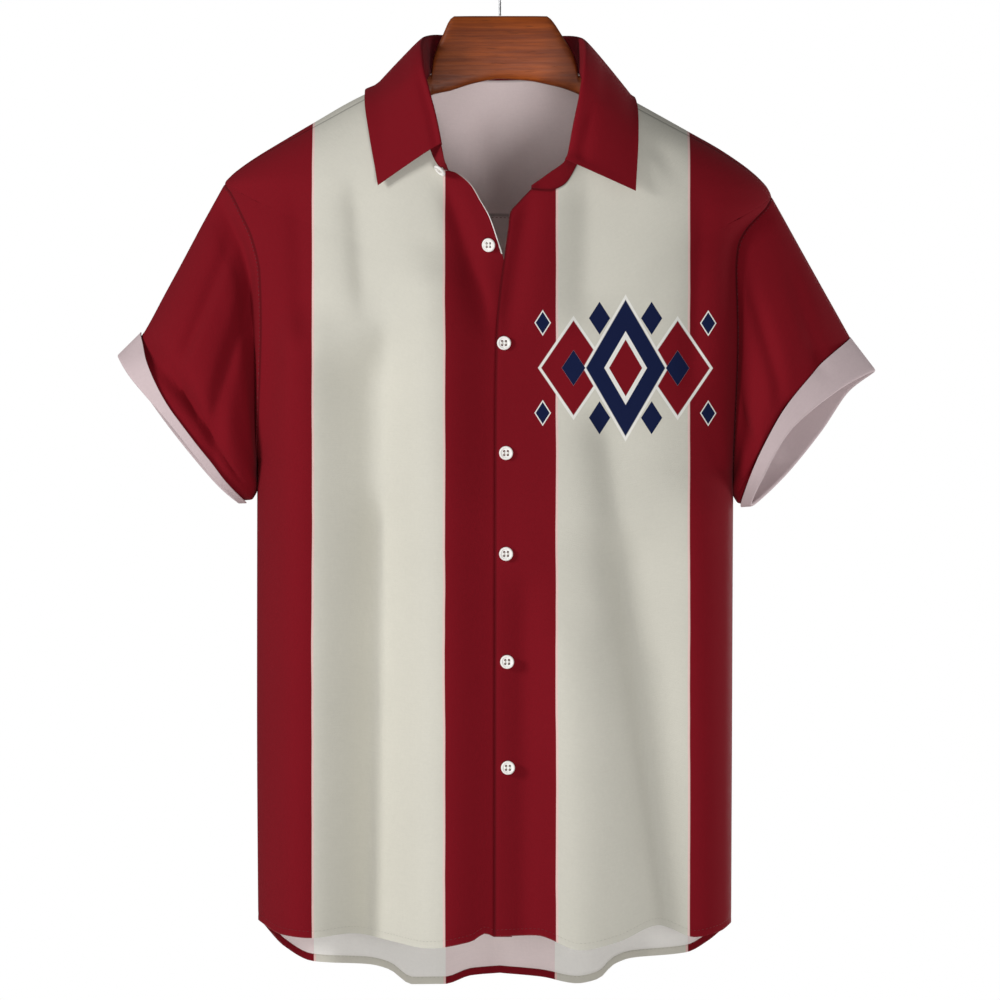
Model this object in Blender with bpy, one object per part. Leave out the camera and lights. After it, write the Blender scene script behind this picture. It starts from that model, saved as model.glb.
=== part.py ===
"""A short-sleeved bowling shirt on a wooden hanger, as separate solids.

Millimetres are used throughout and turned into metres when a mesh is made. The origin is
the inside of the hook's crown, where a rail carries the hanger. X runs to the left sleeve
of the shirt as it is worn, Y to its back and Z up. Heights are given as drops below the
origin, and widths as distances out from X = 0.

The shirt's surface is a stack of level rings. Each ring is four quarters of a superellipse,
and each panel is a patch of that surface between its own cut edges. Panels that are sewn
together share the points of their seam, and each stands back from them by half the gap.
"""
import math
from collections import namedtuple

import bmesh
import bpy
from mathutils import Matrix, Vector
from mathutils.bvhtree import BVHTree

MM = 0.001
WALL = 1.2
SEAM_GAP = 0.3
FRONT, BACK = -1, 1

# ---------------------------------------------------------------- sizes of the shirt

Ring = namedtuple("Ring", "drop front back power")
RINGS = (
    Ring(107.6, 60.0, 62.0, 2.0),
    Ring(129.0, 66.0, 64.0, 2.0),
    Ring(152.0, 72.0, 66.0, 2.0),
    Ring(178.0, 76.0, 68.0, 2.0),
    Ring(210.0, 78.0, 69.0, 2.0),
    Ring(259.0, 80.0, 70.0, 2.1),
    Ring(327.0, 82.0, 71.0, 2.3),
    Ring(446.0, 80.0, 70.0, 2.5),
    Ring(641.0, 77.0, 72.0, 2.5),
    Ring(850.0, 76.0, 76.0, 2.5),
    Ring(900.0, 76.0, 77.0, 2.5),
)

# The shoulder line down to the tip, then the armhole seam, then the side seam.
Edge = namedtuple("Edge", "drop out")
RIGHT_EDGE = (
    Edge(107.6, 59.5), Edge(125.5, 111.4), Edge(152.3, 160.1), Edge(164.4, 180.6),
    Edge(178.1, 203.4), Edge(187.2, 217.1), Edge(196.3, 228.5), Edge(202.5, 233.5),
    Edge(210.5, 228.5), Edge(229.2, 219.3), Edge(249.8, 210.2), Edge(279.3, 203.8),
    Edge(320.0, 202.6), Edge(439.1, 205.9), Edge(641.4, 206.2), Edge(900.0, 204.6),
)
LEFT_EDGE = (
    Edge(107.6, 68.0), Edge(140.5, 127.5), Edge(159.2, 161.0), Edge(172.4, 184.5),
    Edge(182.7, 200.3), Edge(191.1, 211.7), Edge(199.7, 221.3), Edge(207.0, 227.5),
    Edge(213.0, 230.0), Edge(222.0, 226.5), Edge(232.0, 217.5), Edge(243.0, 208.0),
    Edge(256.0, 202.0), Edge(275.0, 200.2), Edge(330.0, 201.5), Edge(445.9, 198.0),
    Edge(683.9, 196.8), Edge(900.0, 195.8),
)

# The neckline of a front, from its front end to the shoulder seam.
Neck = namedtuple("Neck", "along out drop")
RIGHT_NECK = (
    Neck(0.0, 43.5, 193.4), Neck(0.09, 48.0, 192.9), Neck(0.18, 52.4, 189.4),
    Neck(0.3, 58.4, 178.6), Neck(0.5, 64.2, 157.5), Neck(0.75, 66.5, 132.0),
    Neck(0.9, 64.0, 118.0), Neck(1.0, 60.5, 110.5),
)
LEFT_NECK = (
    Neck(0.0, 26.4, 209.0), Neck(0.15, 42.5, 210.0), Neck(0.25, 54.0, 205.5),
    Neck(0.35, 62.0, 194.5), Neck(0.5, 69.5, 176.5), Neck(0.7, 74.5, 150.0),
    Neck(0.85, 74.0, 130.0), Neck(1.0, 69.5, 113.0),
)

# The free edge of a front down to the hem. X runs to the left sleeve.
Opening = namedtuple("Opening", "drop x")
RIGHT_OPENING = (
    Opening(193.4, -43.5), Opening(194.6, -38.5), Opening(196.8, -34.4), Opening(205.3, -24.6),
    Opening(218.0, -16.9), Opening(232.3, -8.8), Opening(249.7, -2.6), Opening(265.6, 2.3),
    Opening(300.0, 8.5), Opening(345.0, 10.2), Opening(840.2, 10.2),
)
LEFT_OPENING = (
    Opening(209.0, 26.4), Opening(219.6, 16.5), Opening(229.0, 8.8), Opening(243.5, 6.9),
    Opening(261.0, 4.6), Opening(301.0, -0.6), Opening(331.0, -2.8), Opening(400.0, -4.0),
    Opening(840.2, -4.7),
)

# The free edge's drops beside the armpit and beside the shoulder tip.
OPENING_STOPS = (446.0, 285.0)

HEM_DROP = 840.2
Hem = namedtuple("Hem", "out drop")
RIGHT_HEM = (
    Hem(-12.0, 840.2), Hem(5.0, 840.2), Hem(12.0, 837.3), Hem(25.0, 844.2), Hem(60.0, 849.7),
    Hem(93.0, 844.2), Hem(126.0, 837.8), Hem(160.0, 841.4), Hem(185.0, 838.7), Hem(204.6, 828.0),
)
LEFT_HEM = (
    Hem(-12.0, 840.2), Hem(30.0, 838.8), Hem(68.0, 851.2), Hem(99.0, 844.7), Hem(134.0, 830.9),
    Hem(165.0, 841.4), Hem(186.0, 836.8), Hem(196.0, 830.0),
)
RIGHT_TAIL = (
    Hem(0.0, 876.0), Hem(25.0, 878.5), Hem(47.0, 886.0), Hem(75.0, 886.2), Hem(95.0, 873.0),
    Hem(112.0, 868.5), Hem(160.0, 865.3), Hem(184.0, 852.2), Hem(204.6, 828.0),
)
LEFT_TAIL = (
    Hem(0.0, 876.0), Hem(35.0, 879.5), Hem(66.0, 885.5), Hem(84.0, 881.5), Hem(97.0, 869.0),
    Hem(112.0, 863.0), Hem(159.0, 857.8), Hem(178.0, 847.0), Hem(196.0, 830.0),
)

# The turned end of a sleeve: top, front, underside and back, an eighth of a turn apart.
CuffPoint = namedtuple("CuffPoint", "out y drop")
RIGHT_CUFF = (
    CuffPoint(322.2, 0.0, 349.9), CuffPoint(311.1, -30.0, 367.7), CuffPoint(278.8, -42.0, 405.1),
    CuffPoint(241.4, -30.0, 451.9), CuffPoint(221.5, 0.0, 471.4), CuffPoint(242.4, 30.0, 454.3),
    CuffPoint(278.1, 42.0, 411.8), CuffPoint(307.0, 30.0, 371.5),
)
LEFT_CUFF = (
    CuffPoint(316.2, 0.0, 361.8), CuffPoint(287.3, -30.0, 376.2), CuffPoint(246.5, -42.0, 409.4),
    CuffPoint(222.7, -30.0, 449.3), CuffPoint(213.0, 0.0, 474.0), CuffPoint(242.3, 30.0, 448.5),
    CuffPoint(272.0, 42.0, 412.8), CuffPoint(295.0, 30.0, 378.8),
)

# The turned-up band's width, round from the top past the front, underside and back.
CuffWidth = namedtuple("CuffWidth", "turn width")
RIGHT_CUFF_WIDTH = (
    CuffWidth(0.0, 27.0), CuffWidth(0.12, 18.0), CuffWidth(0.25, 7.0), CuffWidth(0.4, 6.0),
    CuffWidth(0.6, 6.0), CuffWidth(0.75, 8.0), CuffWidth(0.88, 17.0), CuffWidth(1.0, 27.0),
)
LEFT_CUFF_WIDTH = (
    CuffWidth(0.0, 34.0), CuffWidth(0.12, 26.0), CuffWidth(0.25, 16.0), CuffWidth(0.38, 10.0),
    CuffWidth(0.5, 8.0), CuffWidth(0.62, 10.0), CuffWidth(0.75, 16.0), CuffWidth(0.88, 26.0),
    CuffWidth(1.0, 34.0),
)

# How far the sleeve stands out from straight lines, armhole to cuff: its front and back, its
# underside, which lies along the body below 0, and its top, which sags where it is below 0.
Swell = namedtuple("Swell", "along out under top")
RIGHT_SWELL = (
    Swell(0.0, 0.0, 0.0, 0.0), Swell(0.12, -7.0, 4.0, -0.8), Swell(0.3, 1.0, 2.0, -2.2),
    Swell(0.6, 8.0, -5.5, -4.6), Swell(0.83, 5.0, -4.5, -6.6), Swell(1.0, 0.0, 0.0, 0.0),
)
LEFT_SWELL = (
    Swell(0.0, 0.0, 0.0, 0.0), Swell(0.12, -7.0, 4.0, -0.3), Swell(0.3, 1.0, 2.0, -0.8),
    Swell(0.6, 8.0, -5.5, -1.8), Swell(0.83, 5.0, -4.5, -2.4), Swell(1.0, 0.0, 0.0, 0.0),
)
UNDER_OUT, UNDER_UP = 0.9, 0.45
TOP_OUT, TOP_UP = 0.86, 0.51

# Where the sleeve's rings lie between the armhole (0) and the cuff (1).
Station = namedtuple("Station", "row along")
SLEEVE_STATIONS = (Station(0.0, 0.0), Station(0.3, 0.2), Station(1.0, 1.0))

ARMHOLE_HALF_DEPTH = 45.0
ARMHOLE_STEP = 18
YOKE_STEPS = 2
YOKE_CENTRE_DROP = 227.5
BACK_NECK_DROP = 112.7
SEAM_FORWARD = 28.0

# The collar, from the front end of the neckline (0) past the shoulder seam (1) to the
# centre back (2): where its stand folds over, and where the outer edge of its leaf lies.
CollarRow = namedtuple("CollarRow", "along fold_x fold_y fold_drop edge_x edge_y edge_drop")
RIGHT_COLLAR = (
    CollarRow(0.0, -45.4, -81.5, 188.8, -102.6, -76.0, 209.0),
    CollarRow(0.09, -47.2, -86.0, 184.6, -102.6, -76.0, 209.0),
    CollarRow(0.18, -48.2, -86.5, 179.6, -102.6, -76.0, 208.5),
    CollarRow(0.28, -49.6, -81.0, 172.6, -103.0, -75.5, 206.0),
    CollarRow(0.42, -54.0, -75.0, 151.5, -106.2, -69.0, 186.0),
    CollarRow(0.6, -59.4, -68.5, 129.0, -110.2, -58.0, 161.0),
    CollarRow(0.8, -64.2, -56.0, 106.0, -112.3, -40.0, 141.0),
    CollarRow(1.0, -65.4, -29.0, 87.5, -112.3, -18.0, 129.5),
    CollarRow(1.2, -62.0, 3.0, 79.5, -110.5, 6.0, 125.5),
    CollarRow(1.45, -50.5, 35.0, 77.0, -98.0, 36.0, 126.0),
    CollarRow(1.72, -30.0, 55.5, 77.0, -62.0, 63.0, 129.5),
    CollarRow(1.88, -12.5, 63.6, 77.5, -25.0, 74.0, 131.5),
    CollarRow(1.94, -6.2, 65.0, 77.5, -12.5, 75.6, 132.0),
    CollarRow(2.0, 0.0, 65.4, 77.5, 0.0, 76.0, 132.0),
)
LEFT_COLLAR = (
    CollarRow(0.0, 26.6, -80.6, 206.4, 114.6, -74.0, 211.0),
    CollarRow(0.15, 40.5, -83.0, 196.4, 114.6, -74.0, 211.0),
    CollarRow(0.28, 55.0, -81.5, 185.2, 114.6, -74.0, 210.5),
    CollarRow(0.38, 58.6, -77.5, 176.5, 115.0, -72.0, 202.0),
    CollarRow(0.52, 62.6, -74.5, 156.0, 116.4, -64.0, 178.0),
    CollarRow(0.7, 67.2, -68.0, 131.0, 116.8, -53.0, 158.0),
    CollarRow(0.85, 70.0, -56.0, 108.5, 115.8, -37.0, 143.5),
    CollarRow(1.0, 71.0, -30.0, 89.5, 114.5, -18.0, 133.5),
    CollarRow(1.2, 67.6, 3.0, 81.0, 112.0, 6.0, 129.0),
    CollarRow(1.45, 55.5, 34.0, 78.0, 98.0, 36.0, 129.0),
    CollarRow(1.72, 33.0, 55.0, 77.5, 64.0, 62.5, 130.0),
    CollarRow(1.88, 14.0, 63.4, 77.5, 26.0, 74.0, 131.5),
    CollarRow(1.94, 7.0, 65.0, 77.5, 13.0, 75.6, 132.0),
    CollarRow(2.0, 0.0, 65.4, 77.5, 0.0, 76.0, 132.0),
)
LEAF_START = 0.28
COLLAR_ROLL = 2.0
LEAF_CLEARANCE = 3.4
LEAF_CROWN = 1.0
LEAF_CROWN_SHARE = 0.04
STAND_ROWS = 3
LEAF_TURNS = (0, 45, 90)
LEAF_STEPS = (0.12, 0.28, 0.5, 0.75, 1.0)

CUFF_ROLL = 1.3
CUFF_TURNS = (0, 45, 90, 135, 180)
CUFF_STEPS = (0.33, 0.66, 1.0)

# Folds of the cloth: a soft trough, or a ridge where the lift is above 0, between two ends.
Fold = namedtuple("Fold", "face x0 drop0 x1 drop1 width lift")
FOLDS = (
    Fold(FRONT, -125.0, 400.0, -128.0, 845.0, 17.0, -7.0),
    Fold(FRONT, -98.0, 430.0, -99.0, 845.0, 14.0, 4.0),
    Fold(FRONT, -30.0, 380.0, -22.0, 845.0, 17.0, -4.5),
    Fold(FRONT, 66.0, 400.0, 138.0, 845.0, 15.0, -7.0),
    Fold(FRONT, 96.0, 430.0, 165.0, 845.0, 15.0, 4.0),
    Fold(FRONT, 8.0, 560.0, 30.0, 845.0, 12.0, -3.0),
    Fold(FRONT, 52.0, 560.0, 70.0, 845.0, 22.0, 4.0),
    Fold(BACK, -150.0, 430.0, -140.0, 880.0, 18.0, -6.0),
    Fold(BACK, -62.0, 330.0, -60.0, 885.0, 22.0, 6.0),
    Fold(BACK, -8.0, 300.0, 4.0, 880.0, 18.0, -5.0),
    Fold(BACK, 76.0, 330.0, 68.0, 885.0, 20.0, 6.0),
    Fold(BACK, 138.0, 400.0, 128.0, 880.0, 18.0, -6.0),
)
FOLD_FADE = 70.0
SEAM_FADE = 32.0

FRONT_FOLDS_FROM = 230.0

# The fronts overlap: each shifts this far forward or back near X = 0, below the neckline.
LAP_SHIFT = 1.0
LAP_INNER, LAP_OUTER = 14.0, 45.0
LAP_FROM, LAP_WHOLE = 200.0, 250.0

# Rows of a front from hem to armpit and along the shoulder; columns of the panels.
SIDE_ROWS = 13
ROW_BLEND = 0.3
SHOULDER_ROWS = 7
FRONT_COLUMNS = 14
BACK_COLUMNS = 12
SLEEVE_ROWS = 7

BUTTON_RADIUS = 5.9
BUTTON_THICKNESS = 2.4
BUTTON_SEAT = 0.35
BUTTON_EDGE = 0.6
STRAIGHT_BACK = Vector((0.0, 1.0, 0.0))
Button = namedtuple("Button", "name carriers x y drop way")
BUTTONS = (
    Button("button_collar", ("collar_stand", "front_right"), -49.6, -81.0, 192.5, Vector((0.66, 0.28, 0.7))),
    Button("button_1", ("front_right",), -9.3, 0.0, 256.4, STRAIGHT_BACK),
    Button("button_2", ("front_left",), 3.4, 0.0, 339.1, STRAIGHT_BACK),
    Button("button_3", ("front_left",), 5.1, 0.0, 431.8, STRAIGHT_BACK),
    Button("button_4", ("front_left",), 5.1, 0.0, 516.9, STRAIGHT_BACK),
    Button("button_5", ("front_left",), 6.0, 0.0, 608.0, STRAIGHT_BACK),
    Button("button_6", ("front_left",), 6.7, 0.0, 697.3, STRAIGHT_BACK),
)

# ---------------------------------------------------------------- sizes of the hanger

WIRE_RADIUS = 1.0
HOOK_INNER_RADIUS = 19.0
HOOK_STEP = 12
HEAD_TOP_DROP = 60.0
STEM_GAP = 0.3
ARM_CLEARANCE = 0.45

# The arms' upper edge beyond the head is worked out from the shoulders.
Arm = namedtuple("Arm", "x top bottom thickness")
RIGHT_HEAD = (
    Arm(-212.0, None, 203.0, 12.0), Arm(-208.0, None, 206.0, 22.0), Arm(-200.0, None, 207.0, 30.0),
    Arm(-180.0, None, 198.0, 34.0), Arm(-165.0, None, 188.5, 33.0), Arm(-150.0, None, 178.0, 31.0),
    Arm(-135.0, None, 168.0, 28.5), Arm(-120.0, None, 158.0, 26.0), Arm(-107.0, None, 150.0, 23.0),
    Arm(-95.0, None, 143.0, 20.0), Arm(-75.0, None, 133.0, 16.0), Arm(-64.0, None, 129.5, 14.0),
    Arm(-58.2, 110.2, 127.5, 14.0), Arm(-57.6, 102.0, 127.2, 14.0), Arm(-56.5, 95.0, 126.8, 14.0),
    Arm(-49.0, 77.0, 125.0, 14.0), Arm(-42.0, 62.4, 123.6, 14.0), Arm(-39.0, 60.2, 122.6, 14.0),
)
LEFT_HEAD = (
    Arm(-21.0, 60.0, 117.0, 14.0), Arm(0.0, 60.0, 113.6, 14.0), Arm(25.0, 60.0, 115.3, 14.0),
    Arm(40.0, 60.2, 118.2, 14.0), Arm(43.0, 62.4, 118.9, 14.0), Arm(53.0, 77.0, 121.4, 14.0),
    Arm(63.5, 95.5, 125.3, 14.0), Arm(65.5, 102.5, 126.2, 14.0), Arm(66.3, 110.8, 126.6, 14.0),
    Arm(73.0, None, 130.0, 15.0), Arm(85.0, None, 137.0, 17.0), Arm(105.0, None, 149.0, 22.0),
    Arm(118.0, None, 157.0, 25.0), Arm(130.0, None, 165.0, 28.0), Arm(144.0, None, 174.0, 30.5),
    Arm(158.0, None, 183.0, 32.5), Arm(172.0, None, 192.5, 33.5), Arm(185.0, None, 201.0, 34.0),
    Arm(200.0, None, 208.5, 30.0), Arm(207.0, None, 208.0, 22.0), Arm(211.0, None, 205.0, 12.0),
)
ARM_HALF_HEIGHT = 11.0
ARM_SECTION_POINTS = 16
ARM_SECTION_POWER = 3.2


# ---------------------------------------------------------------- curves and rings

class Curve:
    """The rows' values as a smooth function of their key, with no overshoot between them."""

    def __init__(self, rows, key, value):
        self.keys = [getattr(row, key) for row in rows]
        self.values = [getattr(row, value) for row in rows]
        spans = range(len(rows) - 1)
        slopes = [(self.values[i + 1] - self.values[i]) / (self.keys[i + 1] - self.keys[i])
                  for i in spans]
        self.tangents = [slopes[0]]
        for before, after in zip(slopes, slopes[1:]):
            same_way = before * after > 0
            self.tangents.append(2 * before * after / (before + after) if same_way else 0.0)
        self.tangents.append(slopes[-1])

    def __call__(self, key):
        key = min(max(key, self.keys[0]), self.keys[-1])
        i = 0
        while i < len(self.keys) - 2 and key > self.keys[i + 1]:
            i += 1
        span = self.keys[i + 1] - self.keys[i]
        t = (key - self.keys[i]) / span
        rise = t * t * (3 - 2 * t)
        start, end = self.values[i], self.values[i + 1]
        return (start + (end - start) * rise
                + span * t * (1 - t) * ((1 - t) * self.tangents[i] - t * self.tangents[i + 1]))


def mix(a, b, t):
    return a + (b - a) * t


def smoothstep(low, high, value):
    t = min(max((value - low) / (high - low), 0.0), 1.0)
    return t * t * (3 - 2 * t)


DEPTH = {FRONT: Curve(RINGS, "drop", "front"), BACK: Curve(RINGS, "drop", "back")}
POWER = Curve(RINGS, "drop", "power")


class Side:
    """One side of the shirt, as worn: its sign along X and the curves of its edges."""

    def __init__(self, name, sign, edge, tip, armpit, neck, opening, hem, tail, cuff, cuff_width,
                 swell, collar):
        self.name, self.sign = name, sign
        self.tip, self.armpit = tip, armpit
        self.edge = Curve(edge, "drop", "out")
        self.neck_out = Curve(neck, "along", "out")
        self.neck_drop = Curve(neck, "along", "drop")
        self.neck_top = neck[-1].drop
        self.opening_x = Curve(opening, "drop", "x")
        self.opening_top = opening[0].drop
        self.opening_foot = opening[-1].drop
        self.hems = {FRONT: Curve(hem, "out", "drop"), BACK: Curve(tail, "out", "drop")}
        self.cuff = cuff
        self.cuff_width = Curve(cuff_width, "turn", "width")
        self.swell, self.under_swell, self.top_swell = (
            Curve(swell, "along", column) for column in ("out", "under", "top"))
        self.fold = [Curve(collar, "along", key) for key in ("fold_x", "fold_y", "fold_drop")]
        self.leaf_edge = [Curve(collar, "along", key) for key in ("edge_x", "edge_y", "edge_drop")]

    def armhole_depth(self, drop):
        """Half the armhole's depth from front to back at this drop, 0 above and below it."""
        down = (drop - self.tip) / (self.armpit - self.tip)
        return 2 * ARMHOLE_HALF_DEPTH * math.sqrt(max(down * (1 - down), 0.0))


RIGHT = Side("right", -1, RIGHT_EDGE, 202.5, 439.1, RIGHT_NECK, RIGHT_OPENING, RIGHT_HEM,
             RIGHT_TAIL, RIGHT_CUFF, RIGHT_CUFF_WIDTH, RIGHT_SWELL, RIGHT_COLLAR)
LEFT = Side("left", 1, LEFT_EDGE, 213.0, 445.9, LEFT_NECK, LEFT_OPENING, LEFT_HEM,
            LEFT_TAIL, LEFT_CUFF, LEFT_CUFF_WIDTH, LEFT_SWELL, LEFT_COLLAR)


class Quarter:
    """A quarter of a ring, from the centre line round to the side, measured by its girth."""

    STEPS = 40

    def __init__(self, side, face, drop):
        self.side, self.face = side, face
        self.depth = DEPTH[face](drop)
        self.power = POWER(drop)
        reach = side.armhole_depth(drop) / self.depth
        self.width = side.edge(drop) / (1 - reach ** self.power) ** (1 / self.power)
        self.girths = [0.0]
        last = self.local(0.0)
        for step in range(1, self.STEPS + 1):
            point = self.local(step / self.STEPS)
            self.girths.append(self.girths[-1] + math.dist(last, point))
            last = point

    def local(self, turn):
        """Distances out and forward at a part of the quarter turn."""
        angle = min(max(turn, 0.0), 1.0) * math.pi / 2
        out = self.width * max(math.sin(angle), 0.0) ** (2 / self.power)
        return out, self.depth * max(math.cos(angle), 0.0) ** (2 / self.power)

    @property
    def full(self):
        return self.girths[-1]

    def girth(self, turn):
        step = min(int(turn * self.STEPS), self.STEPS - 1)
        return mix(self.girths[step], self.girths[step + 1], turn * self.STEPS - step)

    def girth_out(self, out):
        """Girth at a distance out; on the far side of the centre line it is below 0."""
        ratio = min(abs(out) / self.width, 1.0)
        girth = self.girth(math.asin(ratio ** (self.power / 2)) / (math.pi / 2))
        return math.copysign(girth, out)

    def girth_deep(self, y):
        ratio = min(abs(y) / self.depth, 1.0)
        return self.girth(math.acos(ratio ** (self.power / 2)) / (math.pi / 2))

    def point(self, girth):
        """X and Y at a girth from the centre line."""
        length = min(abs(girth), self.full)
        step = 0
        while step < self.STEPS - 1 and length > self.girths[step + 1]:
            step += 1
        span = self.girths[step + 1] - self.girths[step]
        out, deep = self.local((step + (length - self.girths[step]) / span) / self.STEPS)
        return self.side.sign * math.copysign(out, girth), self.face * deep


def fold_lift(face, x, drop):
    """How far the folds lift the cloth off the ring's surface."""
    lift = 0.0
    for fold in FOLDS:
        if fold.face == face and drop > fold.drop0:
            down = (drop - fold.drop0) / (fold.drop1 - fold.drop0)
            middle = mix(fold.x0, fold.x1, down)
            fade = smoothstep(0.0, FOLD_FADE, drop - fold.drop0)
            lift += fold.lift * fade * math.exp(-((x - middle) / fold.width) ** 2)
    return lift


def surface(side, face, girth, drop, keep=0.0, lap=0.0):
    """A point of the shirt's surface; `keep` is how much of the folds it carries."""
    x, y = Quarter(side, face, drop).point(girth)
    lift = keep * fold_lift(face, x, drop)
    lift += lap * (1 - smoothstep(LAP_INNER, LAP_OUTER, abs(x)))
    return Vector((x, y + face * lift, -drop))


# ---------------------------------------------------------------- seams, as girth and drop

def armhole_drop(side, degrees):
    down = (1 - math.cos(math.radians(degrees))) / 2
    return mix(side.tip, side.armpit, down)


def side_edge(side, face, along):
    """Hem to armpit (0 to 1), armpit to shoulder tip (1 to 2), shoulder seam (2 to 3)."""
    if along <= 1.0:
        drop = mix(side.hems[face](side.edge(RINGS[-1].drop)), side.armpit, along)
        return Quarter(side, face, drop).full, drop
    if along <= 2.0:
        drop = armhole_drop(side, 180 * (2 - along))
        return Quarter(side, face, drop).girth_deep(side.armhole_depth(drop)), drop
    drop = mix(side.tip, side.neck_top, along - 2)
    forward = SEAM_FORWARD * (1 - (3 - along) ** 2)
    return Quarter(side, FRONT, drop).girth_deep(forward), drop


def opening_edge(side, along):
    """The free edge of a front beside the same rows as `side_edge`."""
    drops = (side.opening_foot, *OPENING_STOPS, side.opening_top)
    stretch = min(int(along), 2)
    drop = mix(drops[stretch], drops[stretch + 1], along - stretch)
    return Quarter(side, FRONT, drop).girth_out(side.sign * side.opening_x(drop)), drop


def hem_edge(side, face, across, start=0.0):
    """The hem from the free edge or the centre back (0) to the side seam (1)."""
    nominal = Quarter(side, face, HEM_DROP)
    x, _ = nominal.point(mix(start, nominal.full, across))
    drop = side.hems[face](side.sign * x)
    return mix(start, Quarter(side, face, drop).full, across), drop


def neck_edge(side, along):
    drop = side.neck_drop(along)
    return Quarter(side, FRONT, drop).girth_out(side.neck_out(along)), drop


def yoke_seam(side, across):
    """The yoke's back seam, from the centre back (0) to the armhole (1)."""
    end, drop_end = side_edge(side, BACK, 2 - YOKE_STEPS * ARMHOLE_STEP / 180)
    drop = mix(YOKE_CENTRE_DROP, drop_end, across)
    share = Quarter(side, BACK, drop).full / Quarter(side, BACK, drop_end).full
    return share * across * end, drop


def neck_round(side, along):
    """The yoke's neckline from the front shoulder seam (0) over the shoulder to the back (1).

    The result is a girth from the shoulder line, below 0 on the front, and a drop.
    """
    top = Quarter(side, FRONT, side.neck_top)
    ahead = top.full - top.girth_deep(SEAM_FORWARD)
    behind = Quarter(side, BACK, BACK_NECK_DROP).full
    girth = mix(-ahead, behind, along)
    if girth < 0:
        return girth, mix(RINGS[0].drop, side.neck_top, (girth / ahead) ** 2)
    return girth, mix(RINGS[0].drop, BACK_NECK_DROP, smoothstep(0.0, behind, girth))


# ---------------------------------------------------------------- panels

def stations(stretches):
    """Positions along an edge, from the length and the number of rows of each stretch."""
    points = [0.0]
    for stretch, (length, rows) in enumerate(stretches):
        points += [stretch + length * (row + 1) / rows for row in range(rows)]
    return points


def patch_rows(ups, lefts, rights, low, high):
    """Rows of girths and drops inside four edges; `ups` are the rows' heights, 0 to 1."""
    rows = []
    for up, left, right in zip(ups, lefts, rights):
        row = []
        for j, ends in enumerate(zip(low, high)):
            across = j / (len(low) - 1)
            place = []
            for axis in range(2):
                edges = mix(left[axis], right[axis], across) + mix(ends[0][axis], ends[1][axis], up)
                foot = mix(low[0][axis], low[-1][axis], across)
                head = mix(high[0][axis], high[-1][axis], across)
                place.append(edges - mix(foot, head, up))
            row.append(place)
        rows.append(row)
    rows[0], rows[-1] = list(low), list(high)
    for row, right in zip(rows, rights):
        row[-1] = right
    return rows


def front_point(side, girth, drop, inward):
    """A point of a front, with its folds and its share of the overlap."""
    keep = smoothstep(0.0, SEAM_FADE, inward) * smoothstep(0.0, FOLD_FADE, drop - FRONT_FOLDS_FROM)
    lap = LAP_SHIFT * side.sign * smoothstep(LAP_FROM, LAP_WHOLE, drop)
    return surface(side, FRONT, girth, drop, keep, lap)


def front_grid(side, columns, stretches):
    """Rows of points of a front, from hem to neck, each from the free edge to the side."""
    alongs = stations(stretches)
    lefts = [opening_edge(side, along) for along in alongs]
    rights = [side_edge(side, FRONT, along) for along in alongs]
    low = [hem_edge(side, FRONT, j / columns, lefts[0][0]) for j in range(columns + 1)]
    high = [neck_edge(side, j / columns) for j in range(columns + 1)]
    height = side.opening_foot - side.opening_top
    ups = [mix((side.opening_foot - left[1]) / height, along / alongs[-1], ROW_BLEND)
           for along, left in zip(alongs, lefts)]
    rows = patch_rows(ups, lefts, rights, low, high)
    return [[front_point(side, girth, drop, right[0] - girth) for girth, drop in row]
            for row, right in zip(rows, rights)]


def back_half(side, columns, stretches):
    """Rows of points of half the back, from hem to yoke, each from the centre to the side."""
    rights = [side_edge(side, BACK, along) for along in stations(stretches)]
    low = [hem_edge(side, BACK, j / columns) for j in range(columns + 1)]
    high = [yoke_seam(side, j / columns) for j in range(columns + 1)]
    ups = [(low[-1][1] - right[1]) / (low[-1][1] - high[-1][1]) for right in rights]
    lefts = [(0.0, mix(low[0][1], high[0][1], up)) for up in ups]
    grid = []
    for row, right in zip(patch_rows(ups, lefts, rights, low, high), rights):
        points = []
        for (girth, drop), top in zip(row, high):
            keep = smoothstep(0.0, SEAM_FADE, right[0] - girth)
            keep *= smoothstep(0.0, FOLD_FADE, drop - top[1])
            points.append(surface(side, BACK, girth, drop, keep))
        grid.append(points)
    return grid


def over_shoulder(side, girth, drop):
    """A surface point at a girth from the shoulder line, below 0 on the front."""
    face = FRONT if girth < 0 else BACK
    return surface(side, face, Quarter(side, face, drop).full - abs(girth), drop)


def yoke_half(side, columns, rows):
    """Rows of points from the neckline out, each from the front shoulder seam to the back."""
    armhole = [side_edge(side, BACK, 2 - step * ARMHOLE_STEP / 180) for step in range(YOKE_STEPS)]
    rim = armhole + [yoke_seam(side, 1 - j / columns) for j in range(columns + 1)]
    outer = [(Quarter(side, BACK, drop).full - girth, drop) for girth, drop in rim]
    inner = [neck_round(side, j / (len(rim) - 1)) for j in range(len(rim))]
    outs = [i / rows for i in range(rows + 1)]
    shoulder = [side_edge(side, FRONT, 3 - out) for out in outs]
    lefts = [(girth - Quarter(side, FRONT, drop).full, drop) for girth, drop in shoulder]
    drops = [mix(inner[-1][1], outer[-1][1], out) for out in outs]
    rights = [(Quarter(side, BACK, drop).full, drop) for drop in drops]
    grid = [[over_shoulder(side, girth, drop) for girth, drop in row]
            for row in patch_rows(outs, lefts, rights, inner, outer)]
    grid[-1] = [surface(side, BACK, girth, drop) for girth, drop in rim]
    for row, (girth, drop) in zip(grid, shoulder):
        row[0] = surface(side, FRONT, girth, drop)
    return grid


# ---------------------------------------------------------------- sleeves

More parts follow.
